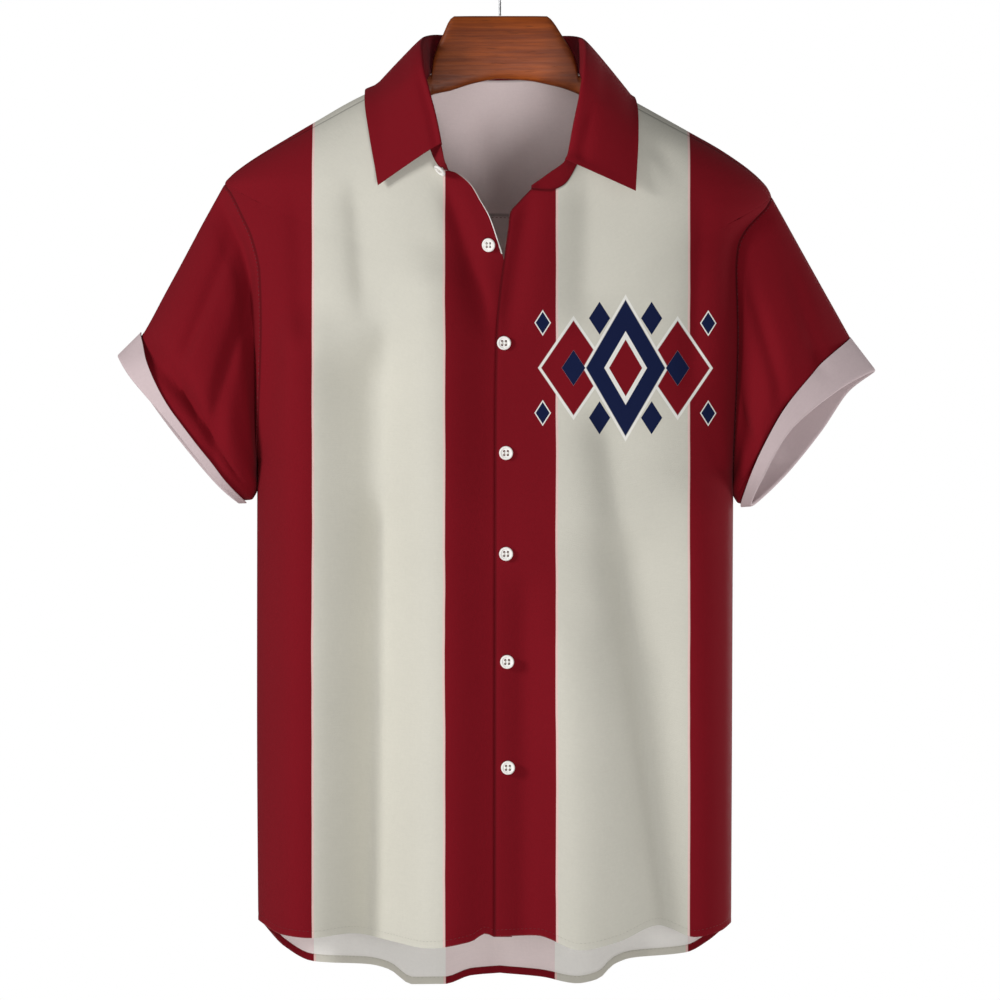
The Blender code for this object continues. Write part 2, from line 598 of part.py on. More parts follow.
def armhole_ring(side, count):
    """Points round the armhole: tip, front, armpit, back."""
    ring = []
    for k in range(count):
        degrees = 360 * k / count
        face = FRONT if degrees <= 180 else BACK
        along = 2 - degrees / 180 if face == FRONT else degrees / 180
        ring.append(surface(side, face, *side_edge(side, face, along)))
    return ring


def closed_curve(points, turn):
    """A point on a smooth closed curve through the points, at a part of the whole turn."""
    count = len(points)
    place = turn * count
    i = int(place) % count
    t = place - int(place)
    before, start, end, after = (points[(i + k) % count] for k in (-1, 0, 1, 2))
    return 0.5 * (2 * start + (end - before) * t
                  + (2 * before - 5 * start + 4 * end - after) * t * t
                  + (3 * start - before - 3 * end + after) * t ** 3)


def cuff_ring(side, count):
    points = [Vector((side.sign * p.out, p.y, -p.drop)) for p in side.cuff]
    return [closed_curve(points, k / count) for k in range(count)]


SLEEVE_ALONG = Curve(SLEEVE_STATIONS, "row", "along")


def sleeve_grid(side, rows, count):
    """Rings of points from the armhole to the turned end of the sleeve."""
    start, end = armhole_ring(side, count), cuff_ring(side, count)
    grid = []
    for i in range(rows + 1):
        along = SLEEVE_ALONG(i / rows)
        ring = []
        for k in range(count):
            angle = 2 * math.pi * k / count
            point = start[k].lerp(end[k], along)
            point.y -= math.sin(angle) * side.swell(along)
            under = side.under_swell(along) * max(-math.cos(angle), 0.0) ** 2
            point += Vector((side.sign * UNDER_OUT, 0.0, UNDER_UP)) * under
            top = side.top_swell(along) * max(math.cos(angle), 0.0) ** 2
            point += Vector((side.sign * TOP_OUT, 0.0, TOP_UP)) * top
            ring.append(point)
        grid.append(ring)
    return grid


def cuff_grid(side, sleeve, normals):
    """The turned-up band: round the fold at the sleeve's end, then back up its outside."""
    count = len(sleeve[0])
    grid = [[] for _ in CUFF_TURNS + CUFF_STEPS]
    for k in range(count):
        run = (sleeve[-1][k] - sleeve[-2][k]).normalized()
        out = (normals[k] - run * normals[k].dot(run)).normalized()
        turns = [rolled(sleeve[-1][k], run, out, CUFF_ROLL, degrees) for degrees in CUFF_TURNS]
        band = [turns[-1] - run * side.cuff_width(k / count) * step for step in CUFF_STEPS]
        for row, point in zip(grid, turns + band):
            row.append(point)
    return grid


def rolled(start, along, out, radius, degrees):
    """Where cloth that leaves `start` and rolls over is, after a turn."""
    angle = math.radians(degrees)
    return start + along * (radius * math.sin(angle)) + out * (radius * (1 - math.cos(angle)))


# ---------------------------------------------------------------- collar

def neck_points(front, yoke):
    """The neckline from a front's free end to the centre back, with its places along it."""
    ahead, behind = front[-1], yoke[0]
    points = [(j / (len(ahead) - 1), point) for j, point in enumerate(ahead)]
    points += [(1 + j / (len(behind) - 1), point) for j, point in enumerate(behind) if j]
    return points


def fold_point(side, along):
    x, y, drop = (curve(along) for curve in side.fold)
    return Vector((x, y, -drop))


def leaf_point(side, along):
    x, y, drop = (curve(along) for curve in side.leaf_edge)
    return Vector((x, y, -drop))


def outside(point):
    """How far a point is outside the shirt's surface, and the way out."""

    def value(place):
        side = RIGHT if place.x < 0 else LEFT
        face = FRONT if place.y < 0 else BACK
        ring = Quarter(side, face, -place.z)
        return ((abs(place.x) / ring.width) ** ring.power
                + (abs(place.y) / ring.depth) ** ring.power) ** (1 / ring.power) - 1

    here = value(point)
    step = 0.5
    slope = Vector([(value(point + axis * step) - here) / step
                    for axis in (Vector((1, 0, 0)), Vector((0, 1, 0)), Vector((0, 0, 1)))])
    return here / slope.length, slope.normalized()


def lifted(point, clearance):
    """The point, moved out where it is nearer to the shirt's surface than the clearance."""
    for _ in range(3):
        distance, way = outside(point)
        point = point + way * max(clearance - distance, 0.0)
    return point


def leaf_column(side, along, seam):
    """The leaf from the fold: round the roll, then down over the shirt to its outer edge."""
    fold, edge = fold_point(side, along), leaf_point(side, along)
    tangent = (fold_point(side, along + 0.02) - fold_point(side, along - 0.02)).normalized()
    up = fold - seam
    up = (up - tangent * up.dot(tangent)).normalized()
    span = edge - fold
    out = tangent.cross(up)
    out = out if out.dot(span) > 0 else -out
    column = [rolled(fold, up, out, COLLAR_ROLL, degrees) for degrees in LEAF_TURNS]
    start = column[-1]
    control = start + out * (LEAF_CROWN + LEAF_CROWN_SHARE * span.length)
    for t in LEAF_STEPS:
        point = start * (1 - t) ** 2 + control * (2 * t * (1 - t)) + edge * t * t
        column.append(lifted(point, LEAF_CLEARANCE) if t > LEAF_STEPS[0] else point)
    return column


# ---------------------------------------------------------------- walls

def key(point):
    return tuple(round(value, 3) for value in point)


LEAST_SPREAD = 0.6


def grid_normals(grids):
    """Normals at each point of each grid, shared where grids meet on a seam."""
    sums = {}
    for grid, closed, flip in grids:
        columns = len(grid[0])
        for i in range(len(grid) - 1):
            for j in range(columns if closed else columns - 1):
                k = (j + 1) % columns
                corners = grid[i][j], grid[i][k], grid[i + 1][k], grid[i + 1][j]
                normal = (corners[2] - corners[0]).cross(corners[3] - corners[1])
                if normal.length < 1e-9:
                    continue
                normal = normal.normalized() * (-1 if flip else 1)
                for corner in corners:
                    sums.setdefault(key(corner), []).append(normal)
    shared = {}
    for place, normals in sums.items():
        mean = sum(normals, Vector()).normalized()
        spread = sum(mean.dot(normal) for normal in normals) / len(normals)
        shared[place] = mean / max(spread, LEAST_SPREAD)
    return shared


def inset(grid, closed, gap):
    """The grid with its cut edges moved in by the gap."""
    rows, columns = len(grid), len(grid[0])
    moved = [list(row) for row in grid]

    def step_in(point, inner, before, after):
        tangent = (after - before).normalized()
        way = inner - point
        way = (way - tangent * way.dot(tangent)).normalized()
        return way * gap

    for i, inner in ((0, 1), (rows - 1, rows - 2)):
        for j in range(columns):
            before = grid[i][(j - 1) % columns if closed else max(j - 1, 0)]
            after = grid[i][(j + 1) % columns if closed else min(j + 1, columns - 1)]
            moved[i][j] = moved[i][j] + step_in(grid[i][j], grid[inner][j], before, after)
    if not closed:
        for j, inner in ((0, 1), (columns - 1, columns - 2)):
            for i in range(rows):
                before, after = grid[max(i - 1, 0)][j], grid[min(i + 1, rows - 1)][j]
                moved[i][j] = moved[i][j] + step_in(grid[i][j], grid[i][inner], before, after)
    return moved


def add_sheet(bm, grid, shared, offset, source, closed):
    """One face of a wall: a grid of vertices on the points, moved along their normals."""
    rows, columns = len(grid), len(grid[0]) + (1 if closed else 0)
    made = bmesh.ops.create_grid(bm, x_segments=columns - 1, y_segments=rows - 1, size=1.0)
    sheet = {}
    for vert in made["verts"]:
        i = round((vert.co.y + 1) / 2 * (rows - 1))
        j = round((vert.co.x + 1) / 2 * (columns - 1))
        place = j % len(grid[0])
        vert.co = (grid[i][place] + shared[key(source[i][place])] * offset) * MM
        sheet[i, j] = vert
    return sheet


def wall_mesh(name, grid, shared, closed):
    """A closed wall round the grid's surface."""
    bm = bmesh.new()
    points = inset(grid, closed, SEAM_GAP / 2)
    sheets = [add_sheet(bm, points, shared, offset, grid, closed) for offset in (WALL / 2, -WALL / 2)]
    if closed:
        bmesh.ops.remove_doubles(bm, verts=bm.verts[:], dist=0.01 * MM)
        for end in (0, len(grid) - 1):
            rim = {vert for sheet in sheets for (i, _), vert in sheet.items()
                   if i == end and vert.is_valid}
            edges = [edge for edge in bm.edges if edge.is_boundary and set(edge.verts) <= rim]
            bmesh.ops.bridge_loops(bm, edges=edges)
    else:
        bmesh.ops.bridge_loops(bm, edges=[edge for edge in bm.edges if edge.is_boundary])
    bmesh.ops.triangulate(bm, faces=bm.faces[:])
    bmesh.ops.recalc_face_normals(bm, faces=bm.faces[:])
    mesh = bpy.data.meshes.new(name)
    bm.to_mesh(mesh)
    bm.free()
    mesh.shade_smooth()
    mesh.set_sharp_from_angle(angle=math.radians(50))
    return mesh


# ---------------------------------------------------------------- objects

def material(name, colour, roughness, metallic=0.0):
    made = bpy.data.materials.new(name)
    made.use_nodes = True
    shader = made.node_tree.nodes["Principled BSDF"]
    shader.inputs["Base Color"].default_value = (*colour, 1.0)
    shader.inputs["Roughness"].default_value = roughness
    shader.inputs["Metallic"].default_value = metallic
    return made


def add_object(name, data, surface_material, collection):
    made = bpy.data.objects.new(name, data)
    data.materials.append(surface_material)
    collection.objects.link(made)
    return made


RAY_START = 200.0
SEAT_RINGS = (0.35, 0.7, 1.0)
SEAT_RAYS = 24


def seat(cloth, place, way):
    """Where a button that faces back along a way rests on the cloth it meets."""
    start = place - way * RAY_START
    across = way.orthogonal().normalized()
    starts = [start]
    for share in SEAT_RINGS:
        for turn in range(SEAT_RAYS):
            swing = Matrix.Rotation(2 * math.pi * turn / SEAT_RAYS, 3, way)
            starts.append(start + swing @ across * BUTTON_RADIUS * share)
    hits = [cloth.ray_cast(each, way)[0] for each in starts]
    near = min((point - start).dot(way) for point in hits if point is not None)
    return start + way * near


def add_button(name, place, normal, surface_material, collection):
    """A bevelled disc seated just off the cloth."""
    bm = bmesh.new()
    bmesh.ops.create_cone(bm, cap_ends=True, segments=18, radius1=BUTTON_RADIUS * MM,
                          radius2=BUTTON_RADIUS * MM, depth=BUTTON_THICKNESS * MM)
    rims = [edge for edge in bm.edges if abs(edge.verts[0].co.z - edge.verts[1].co.z) < 1e-7]
    bmesh.ops.bevel(bm, geom=rims, offset=BUTTON_EDGE * MM, segments=2, profile=0.5,
                    affect="EDGES", offset_type="OFFSET", material=-1)
    mesh = bpy.data.meshes.new(name)
    bm.to_mesh(mesh)
    bm.free()
    made = add_object(name, mesh, surface_material, collection)
    made.rotation_euler = normal.to_track_quat("Z", "Y").to_euler()
    made.location = (place + normal * (BUTTON_SEAT + BUTTON_THICKNESS / 2)) * MM


def add_hook(surface_material, collection):
    """The wire: a stem, a bend, and most of a circle round the rail."""
    radius = HOOK_INNER_RADIUS + WIRE_RADIUS
    centre = Vector((0.0, 0.0, -HOOK_INNER_RADIUS))
    route = [Vector((0.0, 0.0, STEM_GAP - HEAD_TOP_DROP)), Vector((0.0, 0.0, -45.7))]
    route += [Vector((0.8, 0.0, -43.2)), Vector((2.6, 0.0, -40.8)), Vector((5.6, 0.0, -38.9))]
    for degrees in range(-62, 216, HOOK_STEP):
        angle = math.radians(degrees)
        route.append(centre + Vector((math.cos(angle), 0.0, math.sin(angle))) * radius)
    wire = bpy.data.curves.new("hanger_hook", "CURVE")
    wire.dimensions = "3D"
    wire.bevel_depth = WIRE_RADIUS * MM
    wire.bevel_resolution = 2
    wire.use_fill_caps = True
    spline = wire.splines.new("POLY")
    spline.points.add(len(route) - 1)
    for point, place in zip(spline.points, route):
        point.co = (*(place * MM), 1.0)
    add_object("hanger_hook", wire, surface_material, collection)


def tree(*objects):
    """What rays hit: the objects' meshes together, in millimetres."""
    bm = bmesh.new()
    for each in objects:
        bm.from_mesh(each.data)
    bmesh.ops.scale(bm, vec=Vector((1, 1, 1)) / MM, verts=bm.verts[:])
    made = BVHTree.FromBMesh(bm)
    bm.free()
    return made


def arm_top(arm, cloth):
    """The upper edge of the hanger's arm: stated on the head, just under the cloth beyond it."""
    if arm.top is not None:
        return arm.top
    tops = []
    for share in (-0.9, -0.7, -0.5, -0.25, 0.0, 0.25, 0.5, 0.7, 0.9):
        start = Vector((arm.x, share * arm.thickness / 2, -arm.bottom))
        hit = cloth.ray_cast(start, Vector((0, 0, 1)))[0]
        height = (1 - abs(share) ** ARM_SECTION_POWER) ** (1 / ARM_SECTION_POWER)
        tops.append(-hit.z - ARM_HALF_HEIGHT * (1 - height))
    return max(tops) + ARM_CLEARANCE


def rounded(part):
    """A superellipse's coordinate from a circle's."""
    return math.copysign(abs(part) ** (2 / ARM_SECTION_POWER), part)


def add_hanger(cloth, surface_material, collection):
    """The wooden hanger: rounded sections along X, joined end to end."""
    bm = bmesh.new()
    loops = []
    for arm in RIGHT_HEAD + LEFT_HEAD:
        top = arm_top(arm, cloth)
        half_height, middle = (arm.bottom - top) / 2, (arm.bottom + top) / 2
        circle = bmesh.ops.create_circle(bm, segments=ARM_SECTION_POINTS, radius=1.0)["verts"]
        for vert in circle:
            y, z = rounded(vert.co.x) * arm.thickness / 2, rounded(vert.co.y) * half_height - middle
            vert.co = Vector((arm.x, y, z)) * MM
        loops.append([edge for edge in bm.edges if set(edge.verts) <= set(circle)])
    for before, after in zip(loops, loops[1:]):
        bmesh.ops.bridge_loops(bm, edges=before + after)
    for end in (loops[0], loops[-1]):
        bmesh.ops.contextual_create(bm, geom=end)
    bmesh.ops.recalc_face_normals(bm, faces=bm.faces[:])
    mesh = bpy.data.meshes.new("hanger")
    bm.to_mesh(mesh)
    bm.free()
    mesh.shade_smooth()
    add_object("hanger", mesh, surface_material, collection)


def shirt_grids():
    """Each cloth piece's grid of points, whether its rows are closed, and its facing."""
    ring_count = 360 // ARMHOLE_STEP
    back_armhole = ring_count // 2 - YOKE_STEPS
    front_rows = ((1.0, SIDE_ROWS), (1.0, ring_count // 2), (1.0, SHOULDER_ROWS))
    back_rows = ((1.0, SIDE_ROWS), (1 - YOKE_STEPS * ARMHOLE_STEP / 180, back_armhole))
    sides = (RIGHT, LEFT)
    fronts = [front_grid(side, FRONT_COLUMNS, front_rows) for side in sides]
    halves = [back_half(side, BACK_COLUMNS, back_rows) for side in sides]
    yokes = [yoke_half(side, BACK_COLUMNS, SHOULDER_ROWS) for side in sides]
    sleeves = [sleeve_grid(side, SLEEVE_ROWS, ring_count) for side in sides]

    necks = [neck_points(front, yoke) for front, yoke in zip(fronts, yokes)]
    stand, leaf = [], []
    for side, along, seam in ([(RIGHT, *place) for place in necks[0]]
                              + [(LEFT, *place) for place in necks[1][-2::-1]]):
        stand.append([seam.lerp(fold_point(side, along), i / STAND_ROWS) for i in range(STAND_ROWS + 1)])
        if along >= LEAF_START:
            leaf.append(leaf_column(side, along, seam))

    grids = {
        "front_right": (fronts[0], False, True),
        "front_left": (fronts[1], False, False),
        "back": ([right[::-1] + left[1:] for right, left in zip(*halves)], False, True),
        "yoke": ([right + left[-2::-1] for right, left in zip(*yokes)], False, False),
        "sleeve_right": (sleeves[0], True, True),
        "sleeve_left": (sleeves[1], True, False),
        "collar_stand": (stand, False, False),
        "collar": (leaf, False, False),
    }
    shared = grid_normals(grids.values())
    for side, sleeve in zip(sides, sleeves):
        cuff = cuff_grid(side, sleeve, [shared[key(point)] for point in sleeve[-1]])
        grids["cuff_" + side.name] = (cuff, True, side is RIGHT)
    return grids


def build():
    for old in list(bpy.data.objects):
        bpy.data.objects.remove(old)
    collection = bpy.data.collections.new("bowling_shirt_on_hanger")
    bpy.context.scene.collection.children.link(collection)
    red_cloth = material("red_cloth", (0.20, 0.012, 0.020), 0.85)
    cream_cloth = material("cream_cloth", (0.66, 0.64, 0.57), 0.85)
    turned_cloth = material("turned_cloth", (0.56, 0.46, 0.46), 0.9)
    white_plastic = material("white_plastic", (0.86, 0.84, 0.80), 0.35)
    wood = material("wood", (0.21, 0.062, 0.022), 0.5)
    steel = material("steel", (0.30, 0.30, 0.31), 0.3, 1.0)
    cloths = {"front_right": cream_cloth, "front_left": cream_cloth, "back": cream_cloth,
              "yoke": cream_cloth, "cuff_right": turned_cloth, "cuff_left": turned_cloth}

    grids = shirt_grids()
    shared = grid_normals(grids.values())
    pieces = {}
    for name, (grid, closed, _) in grids.items():
        mesh = wall_mesh(name, grid, shared, closed)
        pieces[name] = add_object(name, mesh, cloths.get(name, red_cloth), collection)
    for button in BUTTONS:
        way = button.way.normalized()
        cloth = tree(*(pieces[name] for name in button.carriers))
        place = seat(cloth, Vector((button.x, button.y, -button.drop)), way)
        add_button(button.name, place, -way, white_plastic, collection)
    add_hanger(tree(pieces["yoke"], pieces["front_left"], pieces["front_right"]), wood, collection)
    add_hook(steel, collection)


build()
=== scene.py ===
"""The looks of a short-sleeved bowling shirt on a wooden hanger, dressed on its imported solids.

Shapes are worked out in millimetres, with drops measured down from the hook's crown, and turn
into metres with their mesh. X runs to the left sleeve as the shirt is worn and Y to its back.
"""
import math
from collections import namedtuple

import bmesh
import bpy
from mathutils import Matrix, Vector, noise


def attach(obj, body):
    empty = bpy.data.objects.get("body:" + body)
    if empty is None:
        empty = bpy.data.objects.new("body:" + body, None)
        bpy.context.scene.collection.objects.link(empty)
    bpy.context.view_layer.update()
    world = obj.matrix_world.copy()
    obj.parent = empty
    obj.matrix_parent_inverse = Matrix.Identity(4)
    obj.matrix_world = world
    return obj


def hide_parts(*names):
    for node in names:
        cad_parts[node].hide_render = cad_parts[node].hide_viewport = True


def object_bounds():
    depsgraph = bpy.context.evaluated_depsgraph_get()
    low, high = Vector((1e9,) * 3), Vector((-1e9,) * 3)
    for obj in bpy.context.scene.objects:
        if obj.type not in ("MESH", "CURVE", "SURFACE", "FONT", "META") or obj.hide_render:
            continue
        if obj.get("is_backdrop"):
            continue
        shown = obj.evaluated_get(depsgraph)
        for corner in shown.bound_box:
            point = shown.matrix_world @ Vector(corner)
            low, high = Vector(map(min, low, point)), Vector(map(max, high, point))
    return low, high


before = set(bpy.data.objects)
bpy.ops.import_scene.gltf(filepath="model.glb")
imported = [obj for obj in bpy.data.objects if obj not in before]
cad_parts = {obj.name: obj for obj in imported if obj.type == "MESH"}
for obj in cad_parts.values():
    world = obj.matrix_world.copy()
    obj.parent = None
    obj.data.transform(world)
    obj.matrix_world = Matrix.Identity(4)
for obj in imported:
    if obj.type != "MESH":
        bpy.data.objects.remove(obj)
cad_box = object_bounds()

MM = 0.001
FRONT, BACK = -1, 1
# The wearer's right front alone, which lies under the left one.
UNDER_FRONT = -2


def table(kind, *rows):
    """Rows of values as named tuples of one kind."""
    return [kind(*row) for row in rows]


# ---------------------------------------------------------------- sizes of the shirt

# The shirt's rings: how deep each is in front and behind, and how square.
Ring = namedtuple("Ring", "drop front back power")
RINGS = table(
    Ring,
    (107.6, 60, 62, 2), (129, 66, 64, 2), (152, 72, 66, 2), (178, 76, 68, 2), (210, 78, 69, 2),
    (259, 80, 70, 2.1), (327, 82, 71, 2.3), (446, 80, 70, 2.5), (641, 77, 72, 2.5),
    (850, 76, 76, 2.5), (900, 76, 77, 2.5),
)

# The shoulder line down to the tip, then the armhole seam, then the side seam.
Edge = namedtuple("Edge", "drop out")
RIGHT_EDGE = table(
    Edge,
    (107.6, 59.5), (125.5, 111.4), (152.3, 160.1), (164.4, 180.6), (178.1, 203.4), (187.2, 217.1),
    (196.3, 228.5), (202.5, 233.5), (210.5, 228.5), (229.2, 219.3), (249.8, 210.2),
    (279.3, 203.8), (320, 202.6), (439.1, 205.9), (641.4, 206.2), (900, 204.6),
)
LEFT_EDGE = table(
    Edge,
    (107.6, 68), (140.5, 127.5), (159.2, 161), (172.4, 184.5), (182.7, 200.3), (191.1, 211.7),
    (199.7, 221.3), (207, 227.5), (213, 230), (222, 226.5), (232, 217.5), (243, 208), (256, 202),
    (275, 200.2), (330, 201.5), (445.9, 198), (683.9, 196.8), (900, 195.8),
)
RIGHT_TIP, RIGHT_ARMPIT = 202.5, 439.1
LEFT_TIP, LEFT_ARMPIT = 213.0, 445.9
ARMHOLE_HALF_DEPTH = 45.0
# The armhole seam's points, in degrees of its half turn, and how many of them the yoke has.
ARMHOLE_STEP = 3
YOKE_STEPS = 12
YOKE_CENTRE_DROP = 227.5
BACK_NECK_DROP = 112.7
# How far the shoulder seam lies in front of the shoulder line.
SEAM_FORWARD = 28.0

# The neckline of a front, from its front end to the shoulder seam.
Neck = namedtuple("Neck", "along out drop")
RIGHT_NECK = table(
    Neck,
    (0, 43.5, 193.4), (0.09, 48, 192.9), (0.18, 52.4, 189.4), (0.3, 58.4, 178.6),
    (0.5, 64.2, 157.5), (0.75, 66.5, 132), (0.9, 64, 118), (1, 60.5, 110.5),
)
LEFT_NECK = table(
    Neck,
    (0, 26.4, 209), (0.15, 42.5, 210), (0.25, 54, 205.5), (0.35, 62, 194.5), (0.5, 69.5, 176.5),
    (0.7, 74.5, 150), (0.85, 74, 130), (1, 69.5, 113),
)

# The free edge of a front down to the hem.
Opening = namedtuple("Opening", "drop x")
RIGHT_OPENING = table(
    Opening,
    (193.4, -43.5), (194.6, -38.5), (196.8, -34.4), (205.3, -24.6), (218, -16.9), (232.3, -8.8),
    (249.7, -2.6), (265.6, 2.3), (300, 8.5), (345, 10.2), (840.2, 10.2),
)
LEFT_OPENING = table(
    Opening,
    (209, 26.4), (219.6, 16.5), (229, 8.8), (243.5, 6.9), (261, 4.6), (301, -0.6), (331, -2.8),
    (400, -4), (840.2, -4.7),
)
# The free edge's drops beside the armpit and beside the shoulder tip.
OPENING_STOPS = (446.0, 285.0)

# The hem of each front and the tail of the back, from the centre out to the side seam.
Hem = namedtuple("Hem", "out drop")
HEM_DROP = 840.2
RIGHT_HEM = table(
    Hem,
    (-12, 840.2), (5, 840.2), (12, 837.3), (25, 844.2), (60, 849.7), (93, 844.2), (126, 837.8),
    (160, 841.4), (185, 838.7), (204.6, 828),
)
LEFT_HEM = table(
    Hem,
    (-12, 840.2), (30, 838.8), (68, 851.2), (99, 844.7), (134, 830.9), (165, 841.4), (186, 836.8),
    (196, 830),
)
RIGHT_TAIL = table(
    Hem,
    (0, 876), (25, 878.5), (47, 886), (75, 886.2), (95, 873), (112, 868.5), (160, 865.3),
    (184, 852.2), (204.6, 828),
)
LEFT_TAIL = table(
    Hem,
    (0, 876), (35, 879.5), (66, 885.5), (84, 881.5), (97, 869), (112, 863), (159, 857.8),
    (178, 847), (196, 830),
)

# The turned end of a sleeve: top, front, underside and back, an eighth of a turn apart.
CuffPoint = namedtuple("CuffPoint", "out y drop")
RIGHT_CUFF = table(
    CuffPoint,
    (322.2, 0, 349.9), (311.1, -30, 367.7), (278.8, -42, 405.1), (241.4, -30, 451.9),
    (221.5, 0, 471.4), (242.4, 30, 454.3), (278.1, 42, 411.8), (307, 30, 371.5),
)
LEFT_CUFF = table(
    CuffPoint,
    (316.2, 0, 361.8), (287.3, -30, 376.2), (246.5, -42, 409.4), (222.7, -30, 449.3),
    (213, 0, 474), (242.3, 30, 448.5), (272, 42, 412.8), (295, 30, 378.8),
)

# The turned-up band's width, round from the top past the front, underside and back.
CuffWidth = namedtuple("CuffWidth", "turn width")
RIGHT_CUFF_WIDTH = table(
    CuffWidth,
    (0, 27), (0.12, 18), (0.25, 7), (0.4, 6), (0.6, 6), (0.75, 8), (0.88, 17), (1, 27),
)
LEFT_CUFF_WIDTH = table(
    CuffWidth,
    (0, 34), (0.12, 26), (0.25, 16), (0.38, 10), (0.5, 8), (0.62, 10), (0.75, 16), (0.88, 26),
    (1, 34),
)
# The roll of the fold at a cuff, and the band's rows round it in degrees, then up its width.
CUFF_ROLL = 1.3
CUFF_TURNS = (0, 30, 60, 90, 120, 150, 180)
CUFF_STEPS = (0.08, 0.2, 0.35, 0.5, 0.65, 0.78, 0.88, 0.95, 1.0)

# How far the sleeve stands out from straight lines, armhole to cuff: its front and back, its
# underside, which lies along the body below 0, and its top, which sags where it is below 0.
Swell = namedtuple("Swell", "along out under top")
RIGHT_SWELL = table(
    Swell,
    (0, 0, 0, 0), (0.035, -5, -0.5, -0.2), (0.08, -15, -1.2, -0.5), (0.15, -9.5, -2.4, -1),
    (0.22, -2, -3.7, -1.5), (0.3, 2, -5.1, -2.2), (0.6, 9, -10.2, -4.6), (0.83, 5, -9.6, -6.6),
    (0.92, 2.6, -5.6, -3.6), (1, 0, 0, 0),
)
LEFT_SWELL = table(
    Swell,
    (0, 0, 0, 0), (0.05, 2.5, -0.7, -0.1), (0.12, 6, -1.9, -0.3), (0.3, 6.5, -5, -0.8),
    (0.6, 9.5, -9.9, -1.8), (0.83, 5, -9.2, -2.4), (0.92, 2.6, -5.4, -1.6), (1, 0, 0, 0),
)
# The ways out and up in which the underside and the top swell.
UNDER_OUT, UNDER_UP = 0.9, 0.45
TOP_OUT, TOP_UP = 0.86, 0.51
# How far the underside keeps off the body, how softly, and the part of the sleeve over which
# that sets in.
UNDER_CLEAR, UNDER_EASE, UNDER_FROM = 0.7, 0.3, 0.08

# Where the sleeve's rings lie between the armhole (0) and the cuff (1).
Station = namedtuple("Station", "row along")
SLEEVE_STATIONS = table(Station, (0, 0), (0.3, 0.2), (1, 1))
SLEEVE_LENGTH, SLEEVE_GIRTH = 140.0, 480.0

# The collar, from the front end of the neckline (0) past the shoulder seam (1) to the
# centre back (2): where its stand folds over, and where the outer edge of its leaf lies.
CollarRow = namedtuple("CollarRow", "along fold_x fold_y fold_drop edge_x edge_y edge_drop")
RIGHT_COLLAR = table(
    CollarRow,
    (0, -45.4, -81.5, 188.8, -102.6, -76, 209),
    (0.09, -47.2, -86, 184.6, -102.6, -76, 209),
    (0.18, -48.2, -86.5, 179.6, -102.6, -76, 208.5),
    (0.28, -49.6, -81, 172.6, -103, -75.5, 206),
    (0.42, -54, -75, 151.5, -106.2, -69, 186),
    (0.6, -59.4, -68.5, 129, -110.2, -58, 161),
    (0.8, -64.2, -56, 106, -112.3, -40, 141),
    (1, -65.4, -29, 87.5, -112.3, -18, 129.5),
    (1.2, -62, 3, 79.5, -110.5, 6, 125.5),
    (1.45, -50.5, 35, 77, -98, 36, 126),
    (1.72, -30, 55.5, 77, -62, 63, 129.5),
    (1.88, -12.5, 63.6, 77.5, -25, 74, 131.5),
    (1.94, -6.2, 65, 77.5, -12.5, 75.6, 132),
    (2, 0, 65.4, 77.5, 0, 76, 132),
)
LEFT_COLLAR = table(
    CollarRow,
    (0, 26.6, -80.6, 206.4, 114.6, -74, 211),
    (0.15, 40.5, -83, 196.4, 114.6, -74, 211),
    (0.28, 55, -81.5, 185.2, 114.6, -74, 210.5),
    (0.38, 58.6, -77.5, 176.5, 115, -72, 202),
    (0.52, 62.6, -74.5, 156, 116.4, -64, 178),
    (0.7, 67.2, -68, 131, 116.8, -53, 158),
    (0.85, 70, -56, 108.5, 115.8, -37, 143.5),
    (1, 71, -30, 89.5, 114.5, -18, 133.5),
    (1.2, 67.6, 3, 81, 112, 6, 129),
    (1.45, 55.5, 34, 78, 98, 36, 129),
    (1.72, 33, 55, 77.5, 64, 62.5, 130),
    (1.88, 14, 63.4, 77.5, 26, 74, 131.5),
    (1.94, 7, 65, 77.5, 13, 75.6, 132),
    (2, 0, 65.4, 77.5, 0, 76, 132),
)
STAND_ROWS = 8
LEAF_START = 0.28
# The leaf: the roll at its fold, its rows round the roll in degrees and on to its edge, how far
# its middle is crowned, and how far off the shirt it lies from one of its rows on.
COLLAR_ROLL = 2.0
LEAF_TURNS = (0, 30, 60, 90)
LEAF_STEPS = (0.05, 0.11, 0.18, 0.26, 0.34, 0.42, 0.5, 0.58, 0.66, 0.74, 0.82, 0.88, 0.93, 0.97,
              0.99, 1.0)
LEAF_CROWN, LEAF_CROWN_SHARE = 1.0, 0.04
LEAF_CLEARANCE, LEAF_LIFTED_FROM = 3.4, 0.12

# Soft grooves down the collar's leaf: from one place along the neckline to another, how far
# below the fold, and how wide and deep.
LeafGroove = namedtuple("LeafGroove", "side start end below width depth")
LEAF_GROOVES = table(
    LeafGroove,
    ("right", 0.27, 0.80, 7.5, 2.6, 1.9), ("left", 0.33, 0.72, 15, 4.5, 2.2),
    ("left", 0.75, 1.10, 26, 7, 1.4), ("right", 0.80, 1.15, 24, 7, 1.2),
    ("right", 1.55, 1.75, 18, 8, 1), ("left", 1.60, 1.85, 22, 8, 1),
)
GROOVE_IN, GROOVE_OUT = 0.05, 0.15

# The fronts overlap: each shifts this far forward or back near X = 0, below the neckline.
LAP_SHIFT = 1.0
LAP_INNER, LAP_OUTER = 14.0, 45.0
LAP_FROM, LAP_WHOLE = 200.0, 250.0
# How far a front's rows follow the free edge's drops instead of even steps.
ROW_BLEND = 0.3

